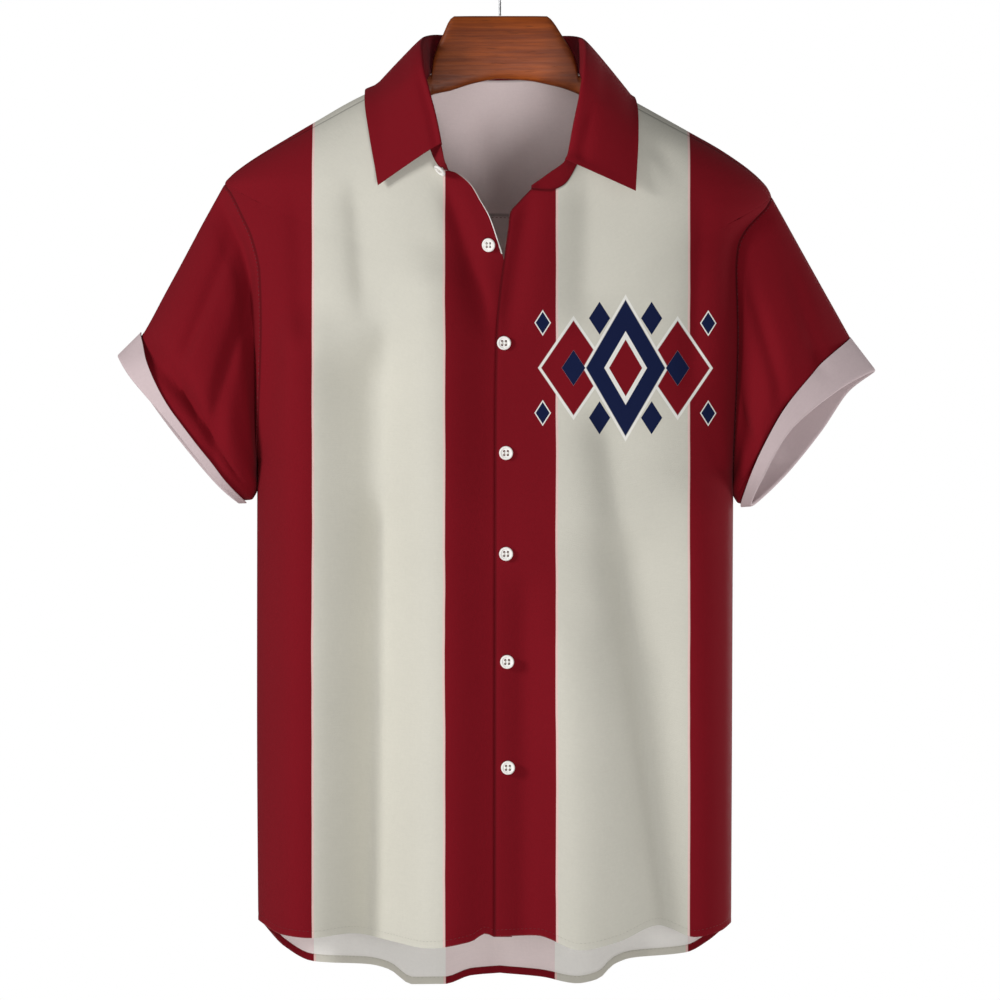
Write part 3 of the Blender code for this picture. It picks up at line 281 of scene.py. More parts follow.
# Creases of the cloth from one drop to another: troughs, or ridges where the lift is above 0.
# `bend` is how far the middle stands off a straight line, `left` and `right` how far the
# crease reaches to each side of it, towards low and high X.
Crease = namedtuple("Crease", "face x0 drop0 x1 drop1 bend left right lift")
CREASES = table(
    Crease,
    (FRONT, -94, 300, -107, 900, 0, 18, 60, -12),
    (FRONT, -97, 450, -107, 900, 0, 15, 60, -10.5),
    (FRONT, -112, 330, -118, 900, 0, 36, 28, -14.5),
    (FRONT, -124, 185, -112, 330, 0, 10, 26, -7),
    (FRONT, -57, 250, -56, 900, 0, 26, 37, 15),
    (UNDER_FRONT, -5, 300, -5, 900, 0, 26, 14, -4.5),
    (FRONT, -52, 188, -10, 345, 5, 9, 6, -7),
    (FRONT, 27, 196, 2, 350, 0, 9, 10, -5.5),
    (FRONT, 76, 180, 72, 340, 0, 20, 45, -9),
    (FRONT, 112, 140, 156, 215, 0, 8, 12, -4.2),
    (FRONT, 84, 380, 152, 900, 3, 16, 50, -11.5),
    (FRONT, 96, 480, 152, 900, 3, 24, 45, -8),
    (FRONT, 21, 520, 20, 900, 0, 12, 14, -5),
    (FRONT, 58, 560, 76, 900, 0, 20, 26, 5),
    (FRONT, -172, 196, -164, 360, 0, 10, 9, -4),
    (FRONT, 170, 200, 160, 400, 0, 9, 10, -3.6),
    (FRONT, -172, 300, -170, 900, 0, 20, 31, 15),
    (FRONT, 184, 440, 184, 900, 0, 34, 24, 9),
    (BACK, -150, 385, -140, 930, 0, 18, 24, -9),
    (BACK, -62, 290, -60, 930, 0, 24, 18, 7),
    (BACK, -8, 260, 4, 930, 0, 14, 28, -8),
    (BACK, 76, 290, 68, 930, 0, 18, 24, 7),
    (BACK, 138, 360, 128, 930, 0, 24, 18, -9),
    (BACK, -165, 235, -110, 345, -6, 8, 12, -4),
    (BACK, 168, 245, 118, 365, 5, 12, 8, -4),
    (BACK, -17, 120, -15, 235, 0, 7, 9, 4.2),
    (BACK, 26, 125, 24, 238, 0, 9, 8, 3.2),
)
# A trough comes to a narrow line, and a ridge is round.
TROUGH_POWER, RIDGE_POWER = 1.5, 2.0
TROUGH_ROUND = 1.6
# How far creases fade in at their ends, beside seams, and on the yoke behind the hanger's arms.
CREASE_FADE, SEAM_FADE, YOKE_FADE = 45.0, 30.0, 26.0
ARM_REACH = 20.0

# How deep the wearer's left front dips beside the armhole seam, by drop, and how wide.
Dip = namedtuple("Dip", "drop depth")
ARMHOLE_DIPS = table(
    Dip,
    (213, 0), (232, 2), (265, 8), (310, 11.5), (390, 12), (428, 6), (445.9, 0),
)
DIP_WIDTH = 10.0

# Creases of the sleeves: ends as parts of the way to the cuff and of the turn round the arm,
# which starts at the shoulder and goes forward.
SleeveCrease = namedtuple("SleeveCrease", "side along0 turn0 along1 turn1 width lift")
SLEEVE_CREASES = table(
    SleeveCrease,
    ("right", 0.05, 0.20, 0.85, 0.34, 11, -5), ("right", 0.16, 0.12, 0.70, 0.18, 7, -5),
    ("right", 0.88, 0.05, 0.76, 0.30, 9, -8.5), ("right", 0.80, 0.20, 0.76, 0.40, 4, -3.4),
    ("left", 0.06, 0.16, 0.75, 0.24, 11, -4), ("left", 0.10, 0.34, 0.80, 0.36, 11, -4.4),
    ("left", 0.86, 0.22, 0.78, 0.42, 4.5, -4.6), ("left", 0.30, 0.08, 0.90, 0.13, 8, -2.6),
    ("right", 0.08, 0.70, 0.80, 0.64, 11, -4.6), ("left", 0.08, 0.72, 0.82, 0.66, 11, -4.6),
    ("right", 0.15, 0.86, 0.70, 0.80, 8, -3), ("left", 0.15, 0.86, 0.70, 0.82, 8, -3),
)
# How softly they end, as a share of their length, and fade beside the armhole and the cuff.
SLEEVE_CREASE_ENDS = 0.2
ARMHOLE_FADE, CUFF_FADE = 0.15, 0.06

# Gentle unevenness of the hung cloth.
DRIFT = 0.55
DRIFT_ACROSS, DRIFT_DOWN = 34.0, 120.0

# The cloth: half its thickness, how far sewn seams and hems draw it in, and the turned hem.
HALF_CLOTH = 0.4
SEAM_SINK, SEAM_REACH = 0.55, 1.7
HEM_TURN, HEM_EXTRA, HEM_EASE = 6.5, 0.45, 0.6
HEM_STITCH, HEM_SINK = 5.7, 0.16


# ---------------------------------------------------------------- curves and rings

class Curve:
    """The rows' values as a smooth function of their key, with no overshoot between them."""

    def __init__(self, rows, key, value):
        self.keys = [getattr(row, key) for row in rows]
        self.values = [getattr(row, value) for row in rows]
        spans = range(len(rows) - 1)
        slopes = [(self.values[i + 1] - self.values[i]) / (self.keys[i + 1] - self.keys[i])
                  for i in spans]
        self.tangents = [slopes[0]]
        for before, after in zip(slopes, slopes[1:]):
            same_way = before * after > 0
            self.tangents.append(2 * before * after / (before + after) if same_way else 0.0)
        self.tangents.append(slopes[-1])

    def __call__(self, key):
        key = min(max(key, self.keys[0]), self.keys[-1])
        i = 0
        while i < len(self.keys) - 2 and key > self.keys[i + 1]:
            i += 1
        span = self.keys[i + 1] - self.keys[i]
        t = (key - self.keys[i]) / span
        rise = t * t * (3 - 2 * t)
        start, end = self.values[i], self.values[i + 1]
        return (start + (end - start) * rise
                + span * t * (1 - t) * ((1 - t) * self.tangents[i] - t * self.tangents[i + 1]))


def mix(a, b, t):
    """The value at a share of the way from one to the other."""
    return a + (b - a) * t


def smoothstep(low, high, value):
    """From 0 at the low value to 1 at the high one, level at both."""
    t = min(max((value - low) / (high - low), 0.0), 1.0)
    return t * t * (3 - 2 * t)


DEPTH = {FRONT: Curve(RINGS, "drop", "front"), BACK: Curve(RINGS, "drop", "back")}
POWER = Curve(RINGS, "drop", "power")
DIP = Curve(ARMHOLE_DIPS, "drop", "depth")
SLEEVE_ALONG = Curve(SLEEVE_STATIONS, "row", "along")


class Side:
    """One side of the shirt, as worn: its sign along X and the curves of its edges."""

    def __init__(self, name, sign, edge, tip, armpit, neck, opening, hem, tail, cuff, cuff_width,
                 swell, collar):
        self.name, self.sign = name, sign
        self.tip, self.armpit = tip, armpit
        self.edge = Curve(edge, "drop", "out")
        self.neck_out = Curve(neck, "along", "out")
        self.neck_drop = Curve(neck, "along", "drop")
        self.neck_top = neck[-1].drop
        self.opening_x = Curve(opening, "drop", "x")
        self.opening_top = opening[0].drop
        self.opening_foot = opening[-1].drop
        self.hems = {FRONT: Curve(hem, "out", "drop"), BACK: Curve(tail, "out", "drop")}
        self.cuff = cuff
        self.cuff_width = Curve(cuff_width, "turn", "width")
        self.swell, self.under_swell, self.top_swell = (
            Curve(swell, "along", column) for column in ("out", "under", "top"))
        self.fold = [Curve(collar, "along", key) for key in ("fold_x", "fold_y", "fold_drop")]
        self.leaf_edge = [Curve(collar, "along", key) for key in ("edge_x", "edge_y", "edge_drop")]

    def armhole_depth(self, drop):
        """Half the armhole's depth from front to back at this drop, 0 above and below it."""
        down = (drop - self.tip) / (self.armpit - self.tip)
        return 2 * ARMHOLE_HALF_DEPTH * math.sqrt(max(down * (1 - down), 0.0))


RIGHT = Side("right", -1, RIGHT_EDGE, RIGHT_TIP, RIGHT_ARMPIT, RIGHT_NECK, RIGHT_OPENING,
             RIGHT_HEM, RIGHT_TAIL, RIGHT_CUFF, RIGHT_CUFF_WIDTH, RIGHT_SWELL, RIGHT_COLLAR)
LEFT = Side("left", 1, LEFT_EDGE, LEFT_TIP, LEFT_ARMPIT, LEFT_NECK, LEFT_OPENING, LEFT_HEM,
            LEFT_TAIL, LEFT_CUFF, LEFT_CUFF_WIDTH, LEFT_SWELL, LEFT_COLLAR)
SIDES = (RIGHT, LEFT)


class Quarter:
    """A quarter of a ring, from the centre line round to the side, measured by its girth."""

    STEPS = 40

    def __init__(self, side, face, drop):
        self.side, self.face = side, face
        self.depth = DEPTH[face](drop)
        self.power = POWER(drop)
        reach = side.armhole_depth(drop) / self.depth
        self.width = side.edge(drop) / (1 - reach ** self.power) ** (1 / self.power)
        self.girths = [0.0]
        last = self.local(0.0)
        for step in range(1, self.STEPS + 1):
            point = self.local(step / self.STEPS)
            self.girths.append(self.girths[-1] + math.dist(last, point))
            last = point

    def local(self, turn):
        """Distances out and forward at a part of the quarter turn."""
        angle = min(max(turn, 0.0), 1.0) * math.pi / 2
        out = self.width * max(math.sin(angle), 0.0) ** (2 / self.power)
        return out, self.depth * max(math.cos(angle), 0.0) ** (2 / self.power)

    @property
    def full(self):
        return self.girths[-1]

    def girth(self, turn):
        step = min(int(turn * self.STEPS), self.STEPS - 1)
        return mix(self.girths[step], self.girths[step + 1], turn * self.STEPS - step)

    def girth_out(self, out):
        """Girth at a distance out; on the far side of the centre line it is below 0."""
        ratio = min(abs(out) / self.width, 1.0)
        girth = self.girth(math.asin(ratio ** (self.power / 2)) / (math.pi / 2))
        return math.copysign(girth, out)

    def girth_deep(self, y):
        ratio = min(abs(y) / self.depth, 1.0)
        return self.girth(math.acos(ratio ** (self.power / 2)) / (math.pi / 2))

    def point(self, girth):
        """X and Y at a girth from the centre line."""
        length = min(abs(girth), self.full)
        step = 0
        while step < self.STEPS - 1 and length > self.girths[step + 1]:
            step += 1
        span = self.girths[step + 1] - self.girths[step]
        out, deep = self.local((step + (length - self.girths[step]) / span) / self.STEPS)
        return self.side.sign * math.copysign(out, girth), self.face * deep


def crease_lift(crease, x, drop):
    """How far one crease lifts the cloth off the ring's surface."""
    height = crease.drop1 - crease.drop0
    down = (drop - crease.drop0) / height
    if not 0.0 < down < 1.0:
        return 0.0
    middle = mix(crease.x0, crease.x1, down) + crease.bend * 4 * down * (1 - down)
    aside = (x - middle) * height / math.hypot(crease.x1 - crease.x0, height)
    fade = smoothstep(0.0, CREASE_FADE, drop - crease.drop0)
    fade *= smoothstep(0.0, CREASE_FADE, crease.drop1 - drop)
    reach = crease.left if aside < 0 else crease.right
    power = TROUGH_POWER if crease.lift < 0 else RIDGE_POWER
    away = math.hypot(aside, TROUGH_ROUND) - TROUGH_ROUND
    return crease.lift * fade * math.exp(-(away / reach) ** power)


def drift(x, y, drop):
    """The cloth's gentle unevenness at a place."""
    place = Vector((x / DRIFT_ACROSS, y / DRIFT_ACROSS, drop / DRIFT_DOWN))
    return DRIFT * noise.noise(place)


def surface(side, face, girth, drop, keep=0.0, lap=0.0):
    """A point of the shirt's surface; `keep` is how much of the creases it carries."""
    quarter = Quarter(side, face, drop)
    x, y = quarter.point(girth)
    lift = lap * (1 - smoothstep(LAP_INNER, LAP_OUTER, abs(x)))
    if side.name == "left" and face == FRONT and side.tip < drop < side.armpit:
        inward = quarter.girth_deep(side.armhole_depth(drop)) - girth
        lift -= DIP(drop) * math.exp(-(inward / DIP_WIDTH) ** 2)
    if keep:
        faces = (face, UNDER_FRONT) if face == FRONT and side.name == "right" else (face,)
        lift += keep * sum(crease_lift(crease, x, drop) for crease in CREASES
                           if crease.face in faces)
        lift += keep * drift(x, y, drop)
    return Vector((x, y + face * lift, -drop))


# ---------------------------------------------------------------- seams, as girth and drop

def armhole_drop(side, degrees):
    down = (1 - math.cos(math.radians(degrees))) / 2
    return mix(side.tip, side.armpit, down)


def side_edge(side, face, along):
    """Hem to armpit (0 to 1), armpit to shoulder tip (1 to 2), shoulder seam (2 to 3)."""
    if along <= 1.0:
        drop = mix(side.hems[face](side.edge(RINGS[-1].drop)), side.armpit, along)
        return Quarter(side, face, drop).full, drop
    if along <= 2.0:
        drop = armhole_drop(side, 180 * (2 - along))
        return Quarter(side, face, drop).girth_deep(side.armhole_depth(drop)), drop
    drop = mix(side.tip, side.neck_top, along - 2)
    forward = SEAM_FORWARD * (1 - (3 - along) ** 2)
    return Quarter(side, FRONT, drop).girth_deep(forward), drop


def opening_edge(side, along):
    """The free edge of a front beside the same rows as `side_edge`."""
    drops = (side.opening_foot, *OPENING_STOPS, side.opening_top)
    stretch = min(int(along), 2)
    drop = mix(drops[stretch], drops[stretch + 1], along - stretch)
    return Quarter(side, FRONT, drop).girth_out(side.sign * side.opening_x(drop)), drop


def hem_edge(side, face, across, start=0.0):
    """The hem from the free edge or the centre back (0) to the side seam (1)."""
    nominal = Quarter(side, face, HEM_DROP)
    x, _ = nominal.point(mix(start, nominal.full, across))
    drop = side.hems[face](side.sign * x)
    return mix(start, Quarter(side, face, drop).full, across), drop


def neck_edge(side, along):
    drop = side.neck_drop(along)
    return Quarter(side, FRONT, drop).girth_out(side.neck_out(along)), drop


def yoke_seam(side, across):
    """The yoke's back seam, from the centre back (0) to the armhole (1)."""
    end, drop_end = side_edge(side, BACK, 2 - YOKE_STEPS * ARMHOLE_STEP / 180)
    drop = mix(YOKE_CENTRE_DROP, drop_end, across)
    share = Quarter(side, BACK, drop).full / Quarter(side, BACK, drop_end).full
    return share * across * end, drop


def neck_round(side, along):
    """The yoke's neckline from the front shoulder seam (0) over the shoulder to the back (1).

    The result is a girth from the shoulder line, below 0 on the front, and a drop.
    """
    top = Quarter(side, FRONT, side.neck_top)
    ahead = top.full - top.girth_deep(SEAM_FORWARD)
    behind = Quarter(side, BACK, BACK_NECK_DROP).full
    girth = mix(-ahead, behind, along)
    if girth < 0:
        return girth, mix(RINGS[0].drop, side.neck_top, (girth / ahead) ** 2)
    return girth, mix(RINGS[0].drop, BACK_NECK_DROP, smoothstep(0.0, behind, girth))


# ---------------------------------------------------------------- panels

def even(start, end, count):
    """Even steps from just after the start to the end."""
    return [start + (end - start) * (k + 1) / count for k in range(count)]


# Places across a panel and up its sides, closer together where hems and seams are worked.
FRONT_ACROSS = [0.0, 0.004, 0.01, 0.018] + even(0.018, 0.975, 54) + [0.984, 0.991, 0.996, 1.0]
BACK_ACROSS = [0.0] + even(0.0, 0.97, 46) + [0.98, 0.988, 0.994, 1.0]
SIDE_ALONG = [0.0, 0.003, 0.008, 0.0145, 0.0175, 0.021] + even(0.021, 1.0, 92)
ARMHOLE_ROWS = 180 // ARMHOLE_STEP
SHOULDER_ALONG = [2.008, 2.017, 2.03] + even(2.03, 2.95, 32) + [2.97, 2.985, 3.0]
FRONT_ALONG = SIDE_ALONG + even(1.0, 2.0, ARMHOLE_ROWS) + SHOULDER_ALONG
BACK_ALONG = SIDE_ALONG + even(1.0, 2.0, ARMHOLE_ROWS)[:ARMHOLE_ROWS - YOKE_STEPS]
YOKE_OUTS = [3 - along for along in reversed([2.0] + SHOULDER_ALONG)]
SLEEVE_ROWS = [0.0, 0.006, 0.014, 0.026] + even(0.026, 1.0, 40)


def patch_rows(ups, lefts, rights, low, high, acrosses):
    """Rows of girths and drops inside four edges; `ups` are the rows' heights, 0 to 1."""
    rows = []
    for up, left, right in zip(ups, lefts, rights):
        row = []
        for across, *ends in zip(acrosses, low, high):
            place = []
            for axis in range(2):
                edges = mix(left[axis], right[axis], across) + mix(ends[0][axis], ends[1][axis], up)
                foot = mix(low[0][axis], low[-1][axis], across)
                head = mix(high[0][axis], high[-1][axis], across)
                place.append(edges - mix(foot, head, up))
            row.append(place)
        rows.append(row)
    rows[0], rows[-1] = list(low), list(high)
    for row, right in zip(rows, rights):
        row[-1] = right
    return rows


def front_point(side, girth, drop, inward):
    """A point of a front, with its creases and its share of the overlap."""
    keep = smoothstep(0.0, SEAM_FADE, inward)
    lap = LAP_SHIFT * side.sign * smoothstep(LAP_FROM, LAP_WHOLE, drop)
    return surface(side, FRONT, girth, drop, keep, lap)


def front_grid(side):
    """Rows of points of a front, from hem to neck, each from the free edge to the side."""
    lefts = [opening_edge(side, along) for along in FRONT_ALONG]
    rights = [side_edge(side, FRONT, along) for along in FRONT_ALONG]
    low = [hem_edge(side, FRONT, across, lefts[0][0]) for across in FRONT_ACROSS]
    high = [neck_edge(side, across) for across in FRONT_ACROSS]
    height = side.opening_foot - side.opening_top
    ups = [mix((side.opening_foot - left[1]) / height, along / FRONT_ALONG[-1], ROW_BLEND)
           for along, left in zip(FRONT_ALONG, lefts)]
    rows = patch_rows(ups, lefts, rights, low, high, FRONT_ACROSS)
    return [[front_point(side, girth, drop, right[0] - girth) for girth, drop in row]
            for row, right in zip(rows, rights)]


def back_half(side):
    """Rows of points of half the back, from hem to yoke, each from the centre to the side."""
    rights = [side_edge(side, BACK, along) for along in BACK_ALONG]
    low = [hem_edge(side, BACK, across) for across in BACK_ACROSS]
    high = [yoke_seam(side, across) for across in BACK_ACROSS]
    ups = [(low[-1][1] - right[1]) / (low[-1][1] - high[-1][1]) for right in rights]
    lefts = [(0.0, mix(low[0][1], high[0][1], up)) for up in ups]
    grid = []
    for row, right in zip(patch_rows(ups, lefts, rights, low, high, BACK_ACROSS), rights):
        points = []
        for (girth, drop), top in zip(row, high):
            keep = smoothstep(0.0, SEAM_FADE, right[0] - girth)
            keep *= smoothstep(0.0, SEAM_FADE, drop - top[1])
            points.append(surface(side, BACK, girth, drop, keep))
        grid.append(points)
    return grid


def over_shoulder(side, girth, drop, keep):
    """A surface point at a girth from the shoulder line, below 0 on the front."""
    face = FRONT if girth < 0 else BACK
    return surface(side, face, Quarter(side, face, drop).full - abs(girth), drop, keep)


def yoke_half(side):
    """Rows of points from the neckline out, each from the front shoulder seam to the back."""
    armhole = [side_edge(side, BACK, 2 - step * ARMHOLE_STEP / 180) for step in range(YOKE_STEPS)]
    rim = armhole + [yoke_seam(side, across) for across in reversed(BACK_ACROSS)]
    outer = [(Quarter(side, BACK, drop).full - girth, drop) for girth, drop in rim]
    places = [0.0]
    for before, after in zip(outer, outer[1:]):
        places.append(places[-1] + math.dist(before, after))
    places = [place / places[-1] for place in places]
    inner = [neck_round(side, place) for place in places]
    shoulder = [side_edge(side, FRONT, 3 - out) for out in YOKE_OUTS]
    lefts = [(girth - Quarter(side, FRONT, drop).full, drop) for girth, drop in shoulder]
    drops = [mix(inner[-1][1], outer[-1][1], out) for out in YOKE_OUTS]
    rights = [(Quarter(side, BACK, drop).full, drop) for drop in drops]
    rows = patch_rows(YOKE_OUTS, lefts, rights, inner, outer, places)
    grid = []
    for row, out in zip(rows, YOKE_OUTS):
        points = []
        for (girth, drop), (_, seam_drop) in zip(row, outer):
            keep = smoothstep(0.0, YOKE_FADE, seam_drop - drop)
            keep *= smoothstep(ARM_REACH, ARM_REACH + YOKE_FADE, girth)
            points.append(over_shoulder(side, girth, drop, keep))
        grid.append(points)
    grid[-1] = [surface(side, BACK, girth, drop) for girth, drop in rim]
    for row, (girth, drop) in zip(grid, shoulder):
        row[0] = surface(side, FRONT, girth, drop)
    return grid, places


# ---------------------------------------------------------------- sleeves and cuffs

def armhole_ring(side):
    """Points round the armhole: tip, front, armpit, back."""
    ring = []
    for step in range(2 * ARMHOLE_ROWS):
        turn = step / ARMHOLE_ROWS
        face, along = (FRONT, 2 - turn) if turn <= 1 else (BACK, turn)
        ring.append(surface(side, face, *side_edge(side, face, along)))
    return ring


def closed_curve(points, turn):
    """A point on a smooth closed curve through the points, at a part of the whole turn."""
    count = len(points)
    place = turn * count
    i = int(place) % count
    t = place - int(place)
    before, start, end, after = (points[(i + k) % count] for k in (-1, 0, 1, 2))
    return 0.5 * (2 * start + (end - before) * t
                  + (2 * before - 5 * start + 4 * end - after) * t * t
                  + (3 * start - before - 3 * end + after) * t ** 3)


def cuff_ring(side, count):
    """Points round the sleeve's turned end."""
    points = [Vector((side.sign * p.out, p.y, -p.drop)) for p in side.cuff]
    return [closed_curve(points, k / count) for k in range(count)]


def sleeve_crease(side, along, turn):
    """How far the creases lift the sleeve, at parts of its length and of its turn."""
    lift = 0.0
    for crease in SLEEVE_CREASES:
        if crease.side != side.name:
            continue
        run = crease.along1 - crease.along0, crease.turn1 - crease.turn0
        scale = SLEEVE_LENGTH, SLEEVE_GIRTH
        length = math.hypot(run[0] * scale[0], run[1] * scale[1])
        here = (along - crease.along0) * scale[0], (turn - crease.turn0) * scale[1]
        ahead = (here[0] * run[0] * scale[0] + here[1] * run[1] * scale[1]) / length
        aside = (here[0] * run[1] * scale[1] - here[1] * run[0] * scale[0]) / length
        soft = SLEEVE_CREASE_ENDS * length
        fade = smoothstep(-soft, soft, ahead) * smoothstep(-soft, soft, length - ahead)
        lift += crease.lift * fade * math.exp(-(aside / crease.width) ** 2)
    return lift


def clear_of_body(side, point):
    """How far out a point of the sleeve's underside moves to lie on the shirt's side."""
    drop = -point.z
    if drop < side.armpit:
        return 0.0
    quarter = Quarter(side, FRONT if point.y < 0 else BACK, drop)
    deep = min(abs(point.y) / quarter.depth, 1.0)
    out = quarter.width * (1 - deep ** quarter.power) ** (1 / quarter.power)
    short = out + UNDER_CLEAR - side.sign * point.x
    return (short + math.hypot(short, UNDER_EASE)) / 2


def sleeve_grid(side):
    """Rings of points from the armhole to the turned end of the sleeve."""
    count = 2 * ARMHOLE_ROWS
    start, end = armhole_ring(side), cuff_ring(side, count)
    grid = []
    for row in SLEEVE_ROWS:
        along = SLEEVE_ALONG(row)
        middle = (start[0].lerp(end[0], along) + start[count // 2].lerp(end[count // 2], along)) / 2
        ring = []
        for k in range(count):
            angle = 2 * math.pi * k / count
            point = start[k].lerp(end[k], along)
            point.y -= math.sin(angle) * side.swell(along)
            under = side.under_swell(along) * max(-math.cos(angle), 0.0) ** 2
            point += Vector((side.sign * UNDER_OUT, 0.0, UNDER_UP)) * under
            top = side.top_swell(along) * max(math.cos(angle), 0.0) ** 2
            point += Vector((side.sign * TOP_OUT, 0.0, TOP_UP)) * top
            fade = smoothstep(0.0, ARMHOLE_FADE, along) * smoothstep(0.0, CUFF_FADE, 1 - along)
            lift = sleeve_crease(side, along, k / count) + drift(point.x, point.y, -point.z)
            point += (point - middle).normalized() * lift * fade
            clear = clear_of_body(side, point) * smoothstep(0.0, UNDER_FROM, along)
            point.x += side.sign * clear
            ring.append(point)
        grid.append(ring)
    return grid


def rolled(start, along, out, radius, degrees):
    """Where cloth that leaves `start` and rolls over is, after a turn."""
    angle = math.radians(degrees)
    return start + along * (radius * math.sin(angle)) + out * (radius * (1 - math.cos(angle)))


def cuff_grid(side, sleeve, normals):
    """The turned-up band: round the fold at the sleeve's end, then back up its outside."""
    count = len(sleeve[0])
    grid = [[] for _ in CUFF_TURNS + CUFF_STEPS]
    for k in range(count):
        run = (sleeve[-1][k] - sleeve[-3][k]).normalized()
        out = (normals[k] - run * normals[k].dot(run)).normalized()
        turns = [rolled(sleeve[-1][k], run, out, CUFF_ROLL, degrees) for degrees in CUFF_TURNS]
        band = [turns[-1] - run * side.cuff_width(k / count) * step for step in CUFF_STEPS]
        for row, point in zip(grid, turns + band):
            row.append(point)
    return grid


# ---------------------------------------------------------------- collar

# Short ways over which a slope is measured, in millimetres and along the neckline, and how
# often a point is moved along its slope.
PROBE, PROBE_ALONG = 0.5, 0.02
LIFTS = 3


def neck_points(front, yoke, places):
    """The neckline from a front's free end to the centre back, with its places along it."""
    points = list(zip(FRONT_ACROSS, front[-1]))
    return points + [(1 + place, point) for place, point in zip(places, yoke[0]) if place]


def collar_point(curves, along):
    """A point of the collar's fold or of its leaf's edge."""
    x, y, drop = (curve(along) for curve in curves)
    return Vector((x, y, -drop))


def outside(point):
    """How far a point is outside the shirt's surface, and the way out."""

    def value(place):
        side = RIGHT if place.x < 0 else LEFT
        face = FRONT if place.y < 0 else BACK
        ring = Quarter(side, face, -place.z)
        return ((abs(place.x) / ring.width) ** ring.power
                + (abs(place.y) / ring.depth) ** ring.power) ** (1 / ring.power) - 1

    here = value(point)
    slope = Vector([(value(point + axis * PROBE) - here) / PROBE for axis in Matrix.Identity(3)])
    return here / slope.length, slope.normalized()


def lifted(point, clearance):
    """The point, moved out where it is nearer to the shirt's surface than the clearance."""
    for _ in range(LIFTS):
        distance, way = outside(point)
        point = point + way * max(clearance - distance, 0.0)
    return point


def leaf_column(side, along, seam):
    """The leaf from the fold: round the roll, then down over the shirt to its outer edge."""
    fold, edge = collar_point(side.fold, along), collar_point(side.leaf_edge, along)
    before, after = (collar_point(side.fold, along + way) for way in (-PROBE_ALONG, PROBE_ALONG))
    tangent = (after - before).normalized()
    up = fold - seam
    up = (up - tangent * up.dot(tangent)).normalized()
    span = edge - fold
    out = tangent.cross(up)
    out = out if out.dot(span) > 0 else -out
    column = [rolled(fold, up, out, COLLAR_ROLL, degrees) for degrees in LEAF_TURNS]
    start = column[-1]
    control = start + out * (LEAF_CROWN + LEAF_CROWN_SHARE * span.length)
    for t in LEAF_STEPS:
        point = start * (1 - t) ** 2 + control * (2 * t * (1 - t)) + edge * t * t
        column.append(lifted(point, LEAF_CLEARANCE) if t > LEAF_LIFTED_FROM else point)
    return sunk_leaf(side, along, column)


def sunk_leaf(side, along, column):
    """The column with the leaf's soft grooves sunk into it."""
    sunk = []
    for point, below in zip(column, running(column)):
        depth = 0.0
        for groove in LEAF_GROOVES:
            if groove.side == side.name:
                fade = smoothstep(groove.start - GROOVE_IN, groove.start + GROOVE_IN, along)
                fade *= 1 - smoothstep(groove.end - GROOVE_OUT, groove.end + GROOVE_IN, along)
                aside = (below - groove.below) / groove.width
                depth += groove.depth * fade * math.exp(-aside ** 2)
        _, way = outside(point)
        sunk.append(point - way * depth)
    return sunk


# ---------------------------------------------------------------- cloth walls

# Points this near each other are one, and quads smaller than this have no way they face.
MERGE, LEAST_QUAD = 0.002, 1e-9
# A normal shared round a fold is longer, so that the cloth keeps its thickness, up to this share.
LEAST_SPREAD = 0.6
# The distance from an edge where none is named.
NO_EDGE = 1000.0
# A front's rim shows its cut edge only this near the opening. Its pale line, a painted highlight
# along the edge, is this wide and this long, and inside the shoulder's tip the print's turnings
# show.
OPENING_REACH = 60.0
PALE_EDGE, PALE_EDGE_DROP = 1.2, 263.0
SHOULDER_X, SHOULDER_DROP = 120.0, 280.0
# Edges sharper than this, in degrees, are creased: in cloth, in buttons, in other pieces.
CLOTH_SHARP, BUTTON_SHARP, PIECE_SHARP = 60, 50, 40


def key(point):
    """What points of different pieces share where they meet: a place to 0.001 mm."""
    return tuple(round(value, 3) for value in point)


def grid_normals(grids):
    """Normals at each point of each grid, shared where grids meet on a seam."""
    sums = {}
    for grid, closed, flip in grids:
        columns = len(grid[0])
        for i in range(len(grid) - 1):
            for j in range(columns if closed else columns - 1):
                k = (j + 1) % columns
                corners = grid[i][j], grid[i][k], grid[i + 1][k], grid[i + 1][j]
                normal = (corners[2] - corners[0]).cross(corners[3] - corners[1])
                if normal.length < LEAST_QUAD:
                    continue
                normal = normal.normalized() * (-1 if flip else 1)
                for corner in corners:
                    sums.setdefault(key(corner), []).append(normal)
    shared = {}
    for place, normals in sums.items():
        mean = sum(normals, Vector()).normalized()
        spread = sum(mean.dot(normal) for normal in normals) / len(normals)
        shared[place] = mean / max(spread, LEAST_SPREAD)
    return shared


def running(points):
    """Distances along a line of points."""
    lengths = [0.0]
    for before, after in zip(points, points[1:]):
        lengths.append(lengths[-1] + (after - before).length)
    return lengths


def edge_distance(grid, edges):
    """Each grid point's distance from the nearest of the named edges."""
    ups = [running(column) for column in zip(*grid)]
    far = []
    for i, row in enumerate(grid):
        over = running(row)
        far.append([min([NO_EDGE] + [distance for edge, distance in (
            ("low", up[i]), ("high", up[-1] - up[i]), ("first", at), ("last", over[-1] - at))
            if edge in edges]) for up, at in zip(ups, over)])
    return far


def flat_places(grid, closed):
    """Each grid point's place on the flat cloth, along the rows and up the columns."""
    middle = grid[len(grid) // 2]
    over = running(middle + middle[:1] if closed else middle)
    return over, running([row[len(row) // 2] for row in grid])


